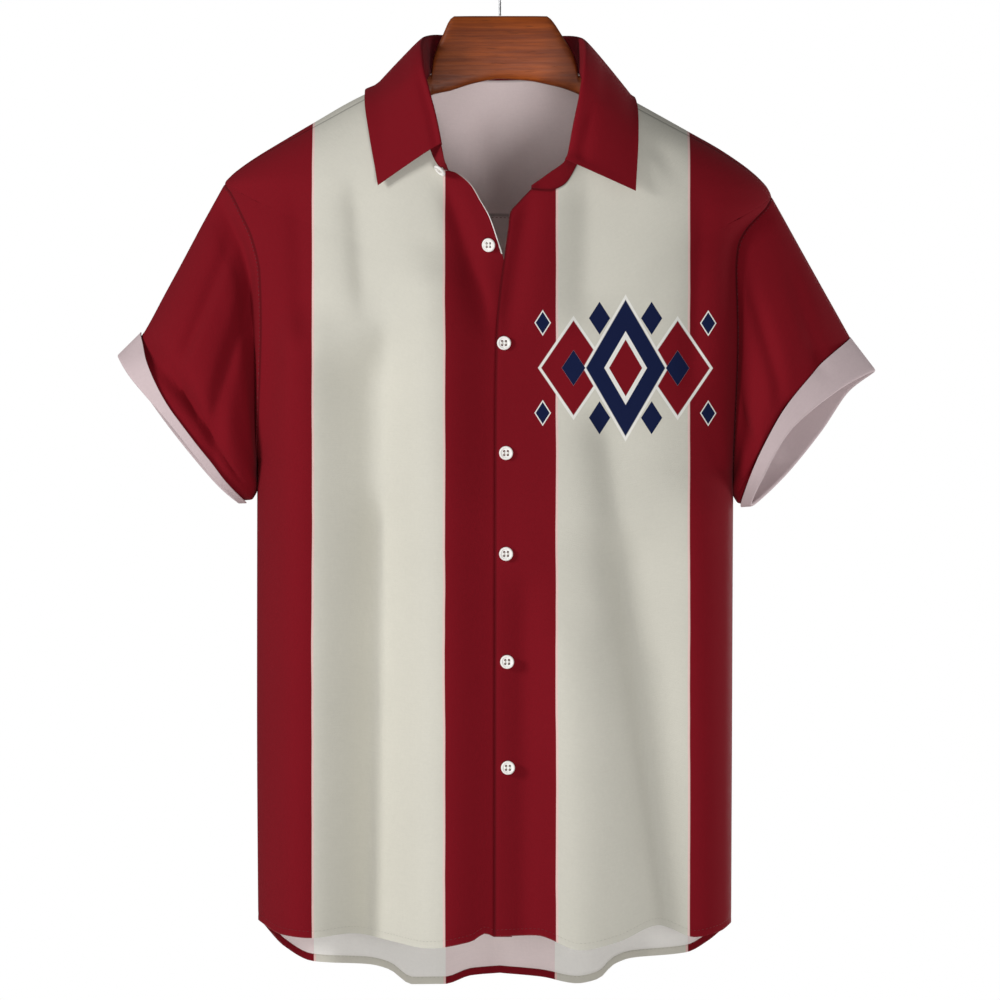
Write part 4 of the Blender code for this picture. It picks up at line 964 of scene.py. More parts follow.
class Cloth:
    """One cut piece of the shirt: its grid, which way it faces, and how its edges are worked."""

    def __init__(self, grid, closed=False, flip=False, seams=(), hems=()):
        self.grid, self.closed, self.flip = grid, closed, flip
        self.seam = edge_distance(grid, seams)
        self.hem = edge_distance(grid, hems)

    def offset(self, i, j, face):
        """How far the outer (1) or inner (-1) surface is off the middle of the cloth."""
        sink = SEAM_SINK * math.exp(-(self.seam[i][j] / SEAM_REACH) ** 2)
        hem = self.hem[i][j]
        turned = HEM_EXTRA * (1 - smoothstep(HEM_TURN - HEM_EASE, HEM_TURN + HEM_EASE, hem))
        drawn_in = HEM_SINK * math.exp(-((hem - HEM_STITCH) / SEAM_REACH) ** 2)
        return face * HALF_CLOTH - sink - drawn_in - (0 if face > 0 else turned)


def add_side(bm, cloth, normals, face, layers):
    """One side of the cloth's wall, with its distances from hems and seams and its UV places."""
    grid = cloth.grid
    rows, columns = len(grid), len(grid[0]) + (1 if cloth.closed else 0)
    made = bmesh.ops.create_grid(bm, x_segments=columns - 1, y_segments=rows - 1, size=1.0)
    over, up = flat_places(grid, cloth.closed)
    places = {}
    for vert in made["verts"]:
        i = round((vert.co.y + 1) / 2 * (rows - 1))
        j = round((vert.co.x + 1) / 2 * (columns - 1))
        place = j % len(grid[0])
        point = grid[i][place]
        vert.co = (point + normals[key(point)] * cloth.offset(i, place, face)) * MM
        vert[layers["hem"]] = cloth.hem[i][place] * MM
        vert[layers["seam"]] = cloth.seam[i][place] * MM
        places[vert] = (over[j] * MM, up[i] * MM)
    for quad in {quad for vert in made["verts"] for quad in vert.link_faces}:
        quad.material_index = 0 if face > 0 else 1
        for loop in quad.loops:
            loop[layers["flat"]].uv = places[loop.vert]
    return places


def finish_front(bm, layers, name):
    """A painted highlight, a pale line along the open collar's edge, and the print's turnings
    inside the shoulder.
    """
    for quad in bm.faces:
        middle = quad.calc_center_median()
        if (name.startswith("front_right") and middle.z > -PALE_EDGE_DROP * MM
                and all(loop[layers["flat"]].uv.x < PALE_EDGE * MM for loop in quad.loops)):
            quad.material_index = 2
        if (abs(middle.x) > SHOULDER_X * MM and middle.z > -SHOULDER_DROP * MM
                and quad.material_index == 1):
            quad.material_index = 0


def mesh_of(name, bm, sharp=PIECE_SHARP):
    """A finished mesh, its faces outwards, smooth but for its sharp edges."""
    bmesh.ops.recalc_face_normals(bm, faces=bm.faces[:])
    mesh = bpy.data.meshes.new(name)
    bm.to_mesh(mesh)
    bm.free()
    mesh.shade_smooth()
    mesh.set_sharp_from_angle(angle=math.radians(sharp))
    return mesh


def cloth_mesh(name, cloth, normals):
    """A closed wall of cloth. Its slots are the outer side, the inner side and the cut edge."""
    bm = bmesh.new()
    layers = {"hem": bm.verts.layers.float.new("hem"), "seam": bm.verts.layers.float.new("seam"),
              "flat": bm.loops.layers.uv.new("flat")}
    places = {}
    for face in (1, -1):
        places.update(add_side(bm, cloth, normals, face, layers))
    if cloth.closed:
        bmesh.ops.remove_doubles(bm, verts=bm.verts[:], dist=MERGE * MM)
    open_edges = [edge for edge in bm.edges if edge.is_boundary]
    rings = [open_edges]
    if cloth.closed:
        low = {vert for vert in places if vert.is_valid and places[vert][1] == 0.0}
        rings = [[edge for edge in open_edges if (set(edge.verts) <= low) == is_low]
                 for is_low in (True, False)]
    for ring in rings:
        for rim in bmesh.ops.bridge_loops(bm, edges=ring)["faces"]:
            nearest = min(abs(vert.co.x) for vert in rim.verts)
            inside = name.startswith("front") and nearest > OPENING_REACH * MM
            rim.material_index = 0 if inside else 2
            for loop in rim.loops:
                loop[layers["flat"]].uv = places.get(loop.vert, (0.0, 0.0))
    if name.startswith("front"):
        finish_front(bm, layers, name)
    return mesh_of(name, bm, CLOTH_SHARP)


# ---------------------------------------------------------------- nodes

def linear(red, green, blue):
    """A colour for shaders from the 0 to 255 values that a screen shows."""
    parts = []
    for part in (red, green, blue):
        part /= 255
        parts.append(part / 12.92 if part <= 0.04045 else ((part + 0.055) / 1.055) ** 2.4)
    return (*parts, 1.0)


class Nodes:
    """Adds nodes to a tree and joins their inputs to values or to other nodes' outputs."""

    def __init__(self, tree):
        self.tree = tree

    def join(self, node, inputs):
        for name, value in dict(inputs).items():
            socket = node.inputs[name]
            if isinstance(value, bpy.types.NodeSocket):
                self.tree.links.new(value, socket)
            else:
                socket.default_value = value

    def add(self, kind, inputs=(), **settings):
        node = self.tree.nodes.new(kind)
        for name, value in settings.items():
            setattr(node, name, value)
        self.join(node, inputs)
        return node

    def group(self, made, inputs):
        return self.add("ShaderNodeGroup", inputs, node_tree=made).outputs

    def math(self, operation, first, second=0.0, third=0.0):
        inputs = {0: first, 1: second, 2: third}
        return self.add("ShaderNodeMath", inputs, operation=operation).outputs[0]

    def times(self, value, factor, more=0.0):
        return self.math("MULTIPLY_ADD", value, factor, more)

    def apart(self, first, second):
        """How far two values are from each other."""
        return self.math("ABSOLUTE", self.math("SUBTRACT", first, second))

    def mix(self, share, first, second):
        node = self.add("ShaderNodeMix", {0: share, 6: first, 7: second}, data_type="RGBA")
        return node.outputs[2]

    def step(self, value, low, high, start=0.0, end=1.0):
        """A smooth step of the value from start to end."""
        inputs = {"Value": value, "From Min": low, "From Max": high, "To Min": start, "To Max": end}
        node = self.add("ShaderNodeMapRange", inputs, interpolation_type="SMOOTHSTEP")
        return node.outputs["Result"]

    def noise(self, place, scale, detail=2.0, roughness=0.5):
        inputs = {"Vector": place, "Scale": scale, "Detail": detail, "Roughness": roughness}
        return self.add("ShaderNodeTexNoise", inputs).outputs["Fac"]

    def vector(self, operation, inputs):
        return self.add("ShaderNodeVectorMath", inputs, operation=operation).outputs["Vector"]

    def stretched(self, place, *scale):
        return self.add("ShaderNodeMapping", {"Vector": place, "Scale": scale}).outputs["Vector"]

    def split(self, place):
        return self.add("ShaderNodeSeparateXYZ", {"Vector": place}).outputs

    def bump(self, height, distance, strength=1.0):
        inputs = {"Height": height, "Distance": distance, "Strength": strength}
        return self.add("ShaderNodeBump", inputs).outputs["Normal"]

    def here(self):
        """The place on the object, in metres."""
        return self.add("ShaderNodeTexCoord").outputs["Object"]

    def flat(self):
        """The place on the cloth as it was cut, in metres."""
        return self.add("ShaderNodeUVMap", uv_map="flat").outputs["UV"]

    def distance(self, name):
        """A distance that the cloth's points carry, in metres."""
        return self.add("ShaderNodeAttribute", attribute_name=name).outputs["Fac"]


def node_group(name, inputs, outputs):
    """An empty shader group with named sockets: it, its nodes, its inputs and its output node."""
    made = bpy.data.node_groups.new(name, "ShaderNodeTree")
    for way, sockets in (("INPUT", inputs), ("OUTPUT", outputs)):
        for label, kind in sockets.items():
            made.interface.new_socket(name=label, in_out=way, socket_type="NodeSocket" + kind)
    nodes = Nodes(made)
    return made, nodes, nodes.add("NodeGroupInput").outputs, nodes.add("NodeGroupOutput")


def new_material(name):
    """A material, its nodes and its shader."""
    made = bpy.data.materials.new(name)
    made.use_nodes = True
    nodes = Nodes(made.node_tree)
    return made, nodes, made.node_tree.nodes["Principled BSDF"]


# ---------------------------------------------------------------- finishes

RED = linear(124, 14, 27)
CREAM = linear(214, 211, 199)
PALE_LINE = linear(236, 200, 194)
WRONG_RED = linear(212, 193, 195)
INSIDE_RED = linear(246, 229, 228)
WRONG_CREAM = linear(251, 249, 244)
NAVY = linear(19, 29, 66)
WHITE_INK = linear(240, 238, 232)
RUBBED = (0.8, 0.76, 0.72, 1.0)

# The print changes colour at these places along X, from the right side to the left, to cream
# (1) or from it (-1), with a pale line on the cream side. Sizes here are in metres.
Stripe = namedtuple("Stripe", "x way")
STRIPES = table(Stripe, (-0.1588, 1), (-0.0464, -1), (0.0472, 1), (0.1605, -1))
LINE_WIDTH, PRINT_EDGE, PRINT_WOBBLE, HEM_PRINT_EDGE = 0.0017, 0.0003, 0.0016, 0.0002
THREAD = 0.00045
WEAVE_BUMP, WEAVE_STRENGTH = 0.00022, 0.6


def weave_group():
    """A plain weave with slubs that run round the body."""
    made, nodes, given, result = node_group(
        "weave", {"Thread": "Float", "Slubs": "Float"}, {"Height": "Float", "Tone": "Float"})
    place = nodes.split(nodes.flat())
    turn = nodes.math("DIVIDE", math.pi, given["Thread"])
    across, up = (nodes.math("SINE", nodes.math("MULTIPLY", place[way], turn)) for way in "XY")
    slubs = nodes.noise(nodes.stretched(nodes.flat(), 70.0, 1100.0, 1.0), 1.0, 3.0, 0.6)
    warps = nodes.noise(nodes.stretched(nodes.flat(), 900.0, 60.0, 1.0), 1.0, 2.0, 0.6)
    slub = nodes.math("MULTIPLY", nodes.times(warps, 0.4, slubs), given["Slubs"])
    height = nodes.times(nodes.math("MULTIPLY", across, up), 0.25, slub)
    nodes.join(result, {"Height": height, "Tone": slub})
    return made


def tone_group():
    """Uneven dye, rubbed edges and painted shade along the seams, on a cloth of any colour."""
    made, nodes, given, result = node_group(
        "dye_wear_and_seam_shade", {"Color": "Color", "Slub": "Float", "Wear": "Float"},
        {"Color": "Color", "Roughness": "Float"})
    here = nodes.here()
    cloudy, fine = nodes.noise(here, 9.0, 3.0), nodes.noise(here, 420.0, 2.0)
    bright = 0.87
    for uneven, share in ((cloudy, 0.09), (fine, 0.06), (given["Slub"], 0.07)):
        bright = nodes.times(uneven, share, bright)
    # Painted shade: the colour darkens within about 2 mm of a seam, in place of the shade in its
    # groove.
    groove = nodes.step(nodes.distance("seam"), 0.0003, 0.0024, 0.58, 1.0)
    toned = given["Color"]
    for shade in (bright, groove):
        toned = nodes.vector("SCALE", {0: toned, "Scale": shade})
    rubbed = nodes.step(nodes.distance("hem"), 0.0, 0.0012, 0.6, 0.0)
    rubbed = nodes.math("MULTIPLY", rubbed, nodes.step(nodes.noise(here, 160.0), 0.35, 0.7))
    rubbed = nodes.math("MULTIPLY", rubbed, given["Wear"])
    pale = nodes.mix(0.5, given["Color"], RUBBED)
    nodes.join(result, {"Color": nodes.mix(rubbed, toned, pale),
                        "Roughness": nodes.times(fine, 0.14, 0.76)})
    return made


def stripes_group():
    """The printed red and cream stripes, with a thin pale line where they meet."""
    made, nodes, given, result = node_group(
        "stripe_print", {"Red": "Color", "Cream": "Color", "Line": "Color"}, {"Color": "Color"})
    here = nodes.here()
    wobble = nodes.noise(nodes.stretched(here, 3.0, 3.0, 14.0), 1.0, 2.0)
    x = nodes.times(nodes.math("SUBTRACT", wobble, 0.5), PRINT_WOBBLE, nodes.split(here)["X"])
    cream = 0.0
    for stripe in STRIPES:
        step = nodes.step(x, stripe.x - PRINT_EDGE, stripe.x + PRINT_EDGE)
        cream = nodes.times(step, stripe.way, cream)
    colour = nodes.mix(cream, given["Red"], given["Cream"])
    half = LINE_WIDTH / 2
    for stripe in STRIPES:
        off = nodes.apart(x, stripe.x + stripe.way * half)
        line = nodes.step(off, half - PRINT_EDGE, half + PRINT_EDGE, 1.0, 0.0)
        colour = nodes.mix(line, colour, given["Line"])
    nodes.join(result, {"Color": colour})
    return made


# A printed lozenge's edges are soft over this share of its size.
DIAMOND_EDGE = 0.015


def diamond_group():
    """One printed lozenge with an outline, laid over the colour below it."""
    inputs = {"Ground": "Color", "Ink": "Color"}
    inputs.update(dict.fromkeys(("X", "Drop", "Half Width", "Half Height", "Outline"), "Float"))
    made, nodes, given, result = node_group("printed_diamond", inputs, {"Color": "Color"})
    place = nodes.split(nodes.here())
    off = nodes.math("ABSOLUTE", nodes.math("ADD", place["Z"], given["Drop"]))
    reach = nodes.math("DIVIDE", nodes.apart(place["X"], given["X"]), given["Half Width"])
    reach = nodes.math("ADD", reach, nodes.math("DIVIDE", off, given["Half Height"]))
    outer = nodes.step(reach, 1 - DIAMOND_EDGE, 1 + DIAMOND_EDGE, 1.0, 0.0)
    edge = nodes.math("SUBTRACT", 1.0, given["Outline"])
    inner = nodes.step(nodes.math("SUBTRACT", reach, edge), -DIAMOND_EDGE, DIAMOND_EDGE, 1.0, 0.0)
    colour = nodes.mix(outer, given["Ground"], WHITE_INK)
    nodes.join(result, {"Color": nodes.mix(inner, colour, given["Ink"])})
    return made


WEAVE, TONE, STRIPE_PRINT, DIAMOND = weave_group(), tone_group(), stripes_group(), diamond_group()

# The lozenges, in the order that they are laid: how far each stands out to both sides of the
# set's middle, and above and below it, its half width and height, its ink, and its outline.
Diamond = namedtuple("Diamond", "aside above half_width half_height ink outline")
DIAMONDS = table(
    Diamond,
    (0.044, 0.0, 0.030, 0.044, RED, 0.09),
    (0.0, 0.0, 0.036, 0.062, NAVY, 0.07),
    (0.0, 0.0, 0.018, 0.031, WHITE_INK, 0.0),
    (0.0, 0.0, 0.014, 0.024, RED, 0.0),
    (0.022, 0.042, 0.009, 0.014, NAVY, 0.0),
    (0.044, 0.0, 0.010, 0.015, NAVY, 0.0),
    (0.070, 0.038, 0.007, 0.011, NAVY, 0.16),
)
DIAMONDS_X, DIAMONDS_DROP = 0.106, 0.360


def cloth_material(name, colour):
    """Woven cloth; `colour` is a value or a function that adds nodes and gives an output."""
    made, nodes, shader = new_material(name)
    weave = nodes.group(WEAVE, {"Thread": THREAD, "Slubs": 1.0})
    colour = colour(nodes) if callable(colour) else colour
    tone = nodes.group(TONE, {"Color": colour, "Slub": weave["Tone"], "Wear": 0.25})
    nodes.join(shader, {
        "Base Color": tone["Color"], "Roughness": tone["Roughness"],
        "Normal": nodes.bump(weave["Height"], WEAVE_BUMP, WEAVE_STRENGTH),
        "Specular IOR Level": 0.1, "Sheen Weight": 0.02, "Sheen Roughness": 0.5})
    return made


def printed(nodes, red=RED, cream=CREAM, line=PALE_LINE):
    return nodes.group(STRIPE_PRINT, {"Red": red, "Cream": cream, "Line": line})["Color"]


def printed_with_diamonds(nodes):
    colour = printed(nodes)
    for diamond in DIAMONDS:
        for above in sorted({-diamond.above, diamond.above}):
            for aside in sorted({-diamond.aside, diamond.aside}):
                colour = nodes.group(DIAMOND, {
                    "Ground": colour, "Ink": diamond.ink, "X": DIAMONDS_X + aside,
                    "Drop": DIAMONDS_DROP + above, "Half Width": diamond.half_width,
                    "Half Height": diamond.half_height, "Outline": diamond.outline})["Color"]
    return colour


def wrong_side(nodes):
    """The print's pale ghost, but its right side where the hem is turned up."""
    ghost = printed(nodes, INSIDE_RED, WRONG_CREAM, WRONG_CREAM)
    turn = HEM_TURN * MM
    turned = nodes.step(nodes.distance("hem"), turn - HEM_PRINT_EDGE, turn, 1.0, 0.0)
    return nodes.mix(turned, ghost, printed(nodes))


CLOTHS = {
    "red": cloth_material("red_cloth", RED),
    "striped": cloth_material("striped_cloth", printed),
    "diamonds": cloth_material("striped_cloth_with_diamonds", printed_with_diamonds),
    "striped_back": cloth_material("striped_cloth_wrong_side", wrong_side),
    "red_back": cloth_material("red_cloth_wrong_side", WRONG_RED),
    "yoke_back": cloth_material("yoke_wrong_side", INSIDE_RED),
    # Painted highlight: the wrong side's cream, laid as a pale line along the wearer's right
    # front's open edge.
    "pale_highlight": cloth_material("painted_edge_highlight", WRONG_CREAM),
}


def thread_material(name, colour):
    """Twisted sewing thread, unevenly dyed."""
    made, nodes, shader = new_material(name)
    colour = colour(nodes) if callable(colour) else colour
    twist = nodes.add("ShaderNodeTexWave", {"Vector": nodes.here(), "Scale": 900.0}).outputs["Fac"]
    shade = nodes.math("MULTIPLY", nodes.noise(nodes.here(), 300.0), 0.35)
    nodes.join(shader, {"Base Color": nodes.mix(shade, colour, (0.02, 0.01, 0.01, 1.0)),
                        "Normal": nodes.bump(twist, 0.0001), "Roughness": 0.6})
    return made


RED_THREAD = thread_material("red_thread", linear(104, 20, 32))
PALE_THREAD = thread_material("pale_thread", linear(226, 220, 210))
PRINTED_THREAD = thread_material("printed_thread", printed)


def plastic_material():
    """Cloudy white plastic with a soft polish."""
    made, nodes, shader = new_material("button_plastic")
    cloudy = nodes.noise(nodes.here(), 260.0, 3.0)
    nodes.join(shader, {
        "Base Color": nodes.mix(cloudy, linear(246, 243, 238), linear(254, 252, 248)),
        "Roughness": nodes.step(nodes.noise(nodes.here(), 900.0), 0.2, 0.8, 0.28, 0.42),
        "Subsurface Weight": 0.1, "Subsurface Radius": (0.001, 0.001, 0.001)})
    return made


def wood_material():
    """Stained and varnished wood, its grain along the hanger, with painted shade darkening it
    towards its ends.
    """
    made, nodes, shader = new_material("hanger_wood")
    here = nodes.here()
    bent = nodes.noise(nodes.stretched(here, 5.0, 30.0, 30.0), 1.0, 3.0)
    grain = nodes.vector("ADD", {0: nodes.stretched(here, 9.0, 260.0, 260.0), 1: bent})
    grain = nodes.noise(grain, 1.0, 6.0, 0.65)
    pores = nodes.noise(nodes.stretched(here, 60.0, 1400.0, 1400.0), 1.0, 2.0)
    from_middle = nodes.math("ABSOLUTE", nodes.split(here)["X"])
    colour = linear(116, 49, 14)
    for share, stain in (
            (nodes.step(grain, 0.3, 0.72), linear(162, 78, 25)),
            (nodes.step(pores, 0.62, 0.72, 0.0, 0.5), linear(58, 28, 15)),
            (nodes.step(nodes.noise(here, 22.0), 0.35, 0.75, 0.0, 0.35), linear(80, 38, 20)),
            # Painted shade: darker away from the middle, where the collar shades the hanger's head.
            (nodes.step(from_middle, 0.025, 0.062, 0.0, 0.45), linear(70, 33, 17))):
        colour = nodes.mix(share, colour, stain)
    nodes.join(shader, {
        "Base Color": colour, "Roughness": nodes.step(pores, 0.3, 0.8, 0.45, 0.65),
        "Normal": nodes.bump(nodes.times(pores, -0.6, grain), 0.00015),
        "Specular IOR Level": 0.2, "Coat Weight": 0.1, "Coat Roughness": 0.4})
    return made


def steel_material():
    """Drawn steel wire."""
    made, nodes, shader = new_material("hook_steel")
    drawn = nodes.noise(nodes.here(), 700.0, 3.0)
    nodes.join(shader, {
        "Base Color": nodes.mix(drawn, linear(120, 120, 122), linear(168, 168, 170)),
        "Roughness": nodes.step(drawn, 0.2, 0.8, 0.22, 0.38), "Metallic": 1.0})
    return made


PLASTIC, WOOD, STEEL = plastic_material(), wood_material(), steel_material()


# ---------------------------------------------------------------- pieces

def add_piece(name, mesh, materials, slot, *nodes):
    """A finished piece on the object's one body, in place of the named solids."""
    made = bpy.data.objects.new(name, mesh)
    for each in materials:
        mesh.materials.append(each)
    bpy.context.scene.collection.objects.link(made)
    if nodes:
        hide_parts(*nodes)
    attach(made, "root")
    return made


def cut_cloths():
    """Every cut piece of the shirt by its solid's name."""
    fronts = [front_grid(side) for side in SIDES]
    halves = [back_half(side) for side in SIDES]
    yokes = [yoke_half(side) for side in SIDES]
    sleeves = [sleeve_grid(side) for side in SIDES]
    necks = [neck_points(front, *yoke) for front, yoke in zip(fronts, yokes)]
    stand, leaf = [], []
    for side, along, seam in ([(RIGHT, *place) for place in necks[0]]
                              + [(LEFT, *place) for place in necks[1][-2::-1]]):
        fold = collar_point(side.fold, along)
        stand.append([seam.lerp(fold, i / STAND_ROWS) for i in range(STAND_ROWS + 1)])
        if along >= LEAF_START:
            leaf.append(leaf_column(side, along, seam))
    back = [right[::-1] + left[1:] for right, left in zip(*halves)]
    yoke = [right + left[-2::-1] for right, left in zip(yokes[0][0], yokes[1][0])]
    cloths = {
        "front_right": Cloth(fronts[0], flip=True, seams=("last", "high"), hems=("low",)),
        # The wearer's left front's free edge counts as a seam. It is drawn in and carries painted
        # shade, a dark line where it laps over the right front.
        "front_left": Cloth(fronts[1], seams=("first", "last", "high"), hems=("low",)),
        "back": Cloth(back, flip=True, seams=("first", "last", "high"), hems=("low",)),
        "yoke": Cloth(yoke, seams=("low", "high", "first", "last")),
        "sleeve_right": Cloth(sleeves[0], closed=True, flip=True, seams=("low",)),
        "sleeve_left": Cloth(sleeves[1], closed=True, seams=("low",)),
        "collar_stand": Cloth(stand, seams=("first",)),
        "collar": Cloth(leaf),
    }
    shared = grid_normals((cloth.grid, cloth.closed, cloth.flip) for cloth in cloths.values())
    for side, sleeve in zip(SIDES, sleeves):
        cuff = cuff_grid(side, sleeve, [shared[key(point)] for point in sleeve[-1]])
        cloths["cuff_" + side.name] = Cloth(cuff, closed=True, flip=side is RIGHT)
    return cloths


# Each cloth piece's outer, inner and edge finish, and its slot.
Cut = namedtuple("Cut", "outer inner edge slot")
CUTS = {
    # The wearer's right front's cut edge near the opening shows the painted highlight.
    "front_right": Cut("striped", "striped_back", "pale_highlight", "striped_cloth"),
    "front_left": Cut("diamonds", "striped_back", "striped", "striped_cloth"),
    "back": Cut("striped", "striped_back", "striped", "striped_cloth"),
    "yoke": Cut("striped", "yoke_back", "striped", "striped_cloth"),
    "sleeve_right": Cut("red", "red_back", "red", "red_cloth"),
    "sleeve_left": Cut("red", "red_back", "red", "red_cloth"),
    "cuff_right": Cut("red", "red_back", "red_back", "cloth_wrong_side"),
    "cuff_left": Cut("red", "red_back", "red_back", "cloth_wrong_side"),
    "collar_stand": Cut("red", "red", "red", "red_cloth"),
    "collar": Cut("red", "red", "red", "red_cloth"),
}

cloths = cut_cloths()
normals = grid_normals((cloth.grid, cloth.closed, cloth.flip) for cloth in cloths.values())
for name, cloth in cloths.items():
    cut = CUTS[name]
    mesh = cloth_mesh(name + "_cloth", cloth, normals)
    finishes = [CLOTHS[each] for each in (cut.outer, cut.inner, cut.edge)]
    piece = add_piece(name + "_cloth", mesh, finishes, cut.slot, name)


# ---------------------------------------------------------------- stitches

STITCH_LENGTH, STITCH_PITCH, STITCH_RADIUS = 2.5, 3.5, 0.24
STITCH_SIDES, STITCH_RINGS = 6, 5
# Rows of stitches: the cloth, its edge, how far in from the edge, and the sides of the cloth.
StitchRow = namedtuple("StitchRow", "cloth edge inward faces")
STITCH_ROWS = table(
    StitchRow,
    ("front_right", "low", HEM_STITCH, (1, -1)),
    ("front_left", "low", HEM_STITCH, (1, -1)),
    ("back", "low", HEM_STITCH, (1, -1)),
    ("back", "high", 2.2, (-1,)),
    ("yoke", "high", 2.2, (1,)),
    ("collar", "high", 4.6, (1,)),
    ("collar", "first", 4.6, (1,)),
    ("collar", "last", 4.6, (1,)),
    ("collar_stand", "low", 2.0, (1,)),
    ("sleeve_right", "low", 2.0, (1,)),
    ("sleeve_left", "low", 2.0, (1,)),
)


def stitched_line(cloth, row, face, normals):
    """Points and normals on the cloth's face along a line at one distance from an edge."""
    grid = cloth.grid
    ways = [[(i, j) for j in range(len(grid[0]))] for i in range(len(grid))]
    if row.edge in ("low", "high"):
        ways = list(zip(*ways))
    if row.edge in ("high", "last"):
        ways = [way[::-1] for way in ways]
    line = []
    for way in ways:
        gone = 0.0
        for (i, j), (k, l) in zip(way, way[1:]):
            before, after = grid[i][j], grid[k][l]
            step = (after - before).length
            if gone + step >= row.inward > gone:
                share = (row.inward - gone) / step
                ups = [normals[key(point)] for point in (before, after)]
                offs = [cloth.offset(i, j, face), cloth.offset(k, l, face)]
                place = (before + ups[0] * offs[0]).lerp(after + ups[1] * offs[1], share)
                line.append((place, ups[0].lerp(ups[1], share).normalized() * face))
                break
            gone += step
    return line


def add_stitches(bm, line):
    """Short threads along the line, each lying half in the cloth."""
    lengths = running([place for place, _ in line])
    at, here = 0, STITCH_PITCH / 2
    while here + STITCH_LENGTH < lengths[-1]:
        middle = here + STITCH_LENGTH / 2
        while lengths[at + 1] < middle:
            at += 1
        share = (middle - lengths[at]) / (lengths[at + 1] - lengths[at])
        place = line[at][0].lerp(line[at + 1][0], share)
        up = line[at][1].lerp(line[at + 1][1], share).normalized()
        ahead = (line[at + 1][0] - line[at][0]).normalized()
        aside = up.cross(ahead).normalized()
        up = ahead.cross(aside)
        half, radius = STITCH_LENGTH / 2 * MM, STITCH_RADIUS * MM
        turn = Matrix((ahead * half, aside * radius, up * radius)).transposed().to_4x4()
        bmesh.ops.create_uvsphere(bm, u_segments=STITCH_SIDES, v_segments=STITCH_RINGS,
                                  radius=1.0, matrix=Matrix.Translation(place * MM) @ turn)
        here += STITCH_PITCH


for name in dict.fromkeys(row.cloth for row in STITCH_ROWS):
    bm = bmesh.new()
    for row in STITCH_ROWS:
        for face in row.faces if row.cloth == name else ():
            add_stitches(bm, stitched_line(cloths[name], row, face, normals))
    thread = RED_THREAD if CUTS[name].slot == "red_cloth" else PRINTED_THREAD
    add_piece(name + "_stitches", mesh_of(name + "_stitches", bm), [thread], CUTS[name].slot)


# ---------------------------------------------------------------- buttons

# The outline that is turned into a button, from its back's middle round to its face's.
Turned = namedtuple("Turned", "radius height")
BUTTON = table(
    Turned,
    (0, 0), (4.9, 0), (5.6, 0.25), (5.9, 0.9), (5.85, 1.6), (5.5, 2.15), (5, 2.4), (4.5, 2.3),
    (4.1, 1.95), (3.6, 1.7), (2.4, 1.6), (0, 1.6),
)
# The steps of its turn, and how near each other points of it are one.
BUTTON_SIDES, SPUN_MERGE = 40, 0.001
HOLE_SPACING, HOLE_RADIUS, HOLE_SIDES, HOLE_DEPTH = 1.55, 1.02, 14, 6.0
# The thread through the holes arches over the button's middle, and a stem of it goes down.
ARCH_PLACES = (-1.8, -1.5, -1.0, -0.4, 0.4, 1.0, 1.5, 1.8)
ARCH_FOOT, ARCH_RISE, ARCH_SPREAD, ARCH_RADIUS, ARCH_SIDES = 1.0, 1.0, 2.0, 0.27, 8
STEM_RADIUS, STEM_LENGTH, STEM_TOP, STEM_SIDES = 0.95, 2.9, 0.6, 12
# The top front button hangs on its thread, turned a little out of the front's plane.
TOP_BUTTON, BUTTON_TILT = "button_1", 22.0
TILT_AXIS = Vector((-0.3, 0.0, 0.95)).normalized()
# How far the others are sewn down from their solids' places, towards the cloth.
SEWN_DOWN = 1.1


def skinned(bm, rings):
    """Faces from each ring of points to the next and over both ends."""
    loops = [[edge for edge in bm.edges if set(edge.verts) <= ring] for ring in map(set, rings)]
    faces = []
    for one, other in zip(loops, loops[1:]):
        faces += bmesh.ops.bridge_loops(bm, edges=one + other)["faces"]
    for end in (loops[0], loops[-1]):
        faces += bmesh.ops.contextual_create(bm, geom=end)["faces"]
    return faces


def rod(bm, sides, radius, length, place):
    """A closed rod along Z about a place; its points."""
    return bmesh.ops.create_cone(bm, cap_ends=True, segments=sides, radius1=radius * MM,
                                 radius2=radius * MM, depth=length * MM,
                                 matrix=Matrix.Translation(Vector(place) * MM))["verts"]


def button_blank():
    """A moulded button with a rolled rim and a dished middle, lying on Z = 0."""
    bm = bmesh.new()
    verts = [bm.verts.new((step.radius * MM, 0.0, step.height * MM)) for step in BUTTON]
    edges = [bm.edges.new(pair) for pair in zip(verts, verts[1:])]
    bmesh.ops.spin(bm, geom=verts + edges, cent=(0, 0, 0), axis=(0, 0, 1), angle=2 * math.pi,
                   steps=BUTTON_SIDES, use_merge=True)
    bmesh.ops.remove_doubles(bm, verts=bm.verts[:], dist=SPUN_MERGE * MM)
    bmesh.ops.recalc_face_normals(bm, faces=bm.faces[:])
    return bm


def plain_object(name, bm):
    """An object for the time that the button's holes are cut."""
    mesh = bpy.data.meshes.new(name)
    bm.to_mesh(mesh)
    bm.free()
    made = bpy.data.objects.new(name, mesh)
    bpy.context.scene.collection.objects.link(made)
    return made


def button_mesh():
    """The button with its four sewing holes cut through, and its thread."""
    drills = bmesh.new()
    for x in (-HOLE_SPACING, HOLE_SPACING):
        for y in (-HOLE_SPACING, HOLE_SPACING):
            rod(drills, HOLE_SIDES, HOLE_RADIUS, HOLE_DEPTH, (x, y, 0.0))
    objects = [plain_object("button_blank", button_blank()), plain_object("drill", drills)]
    cut = objects[0].modifiers.new("holes", "BOOLEAN")
    cut.object, cut.solver = objects[1], "EXACT"
    bpy.context.view_layer.update()
    done = objects[0].evaluated_get(bpy.context.evaluated_depsgraph_get())
    mesh = bpy.data.meshes.new_from_object(done)
    for each in objects:
        bpy.data.objects.remove(each)
    bm = bmesh.new()
    bm.from_mesh(mesh)
    add_button_thread(bm)
    bmesh.ops.recalc_face_normals(bm, faces=bm.faces[:])
    bm.to_mesh(mesh)
    bm.free()
    return mesh


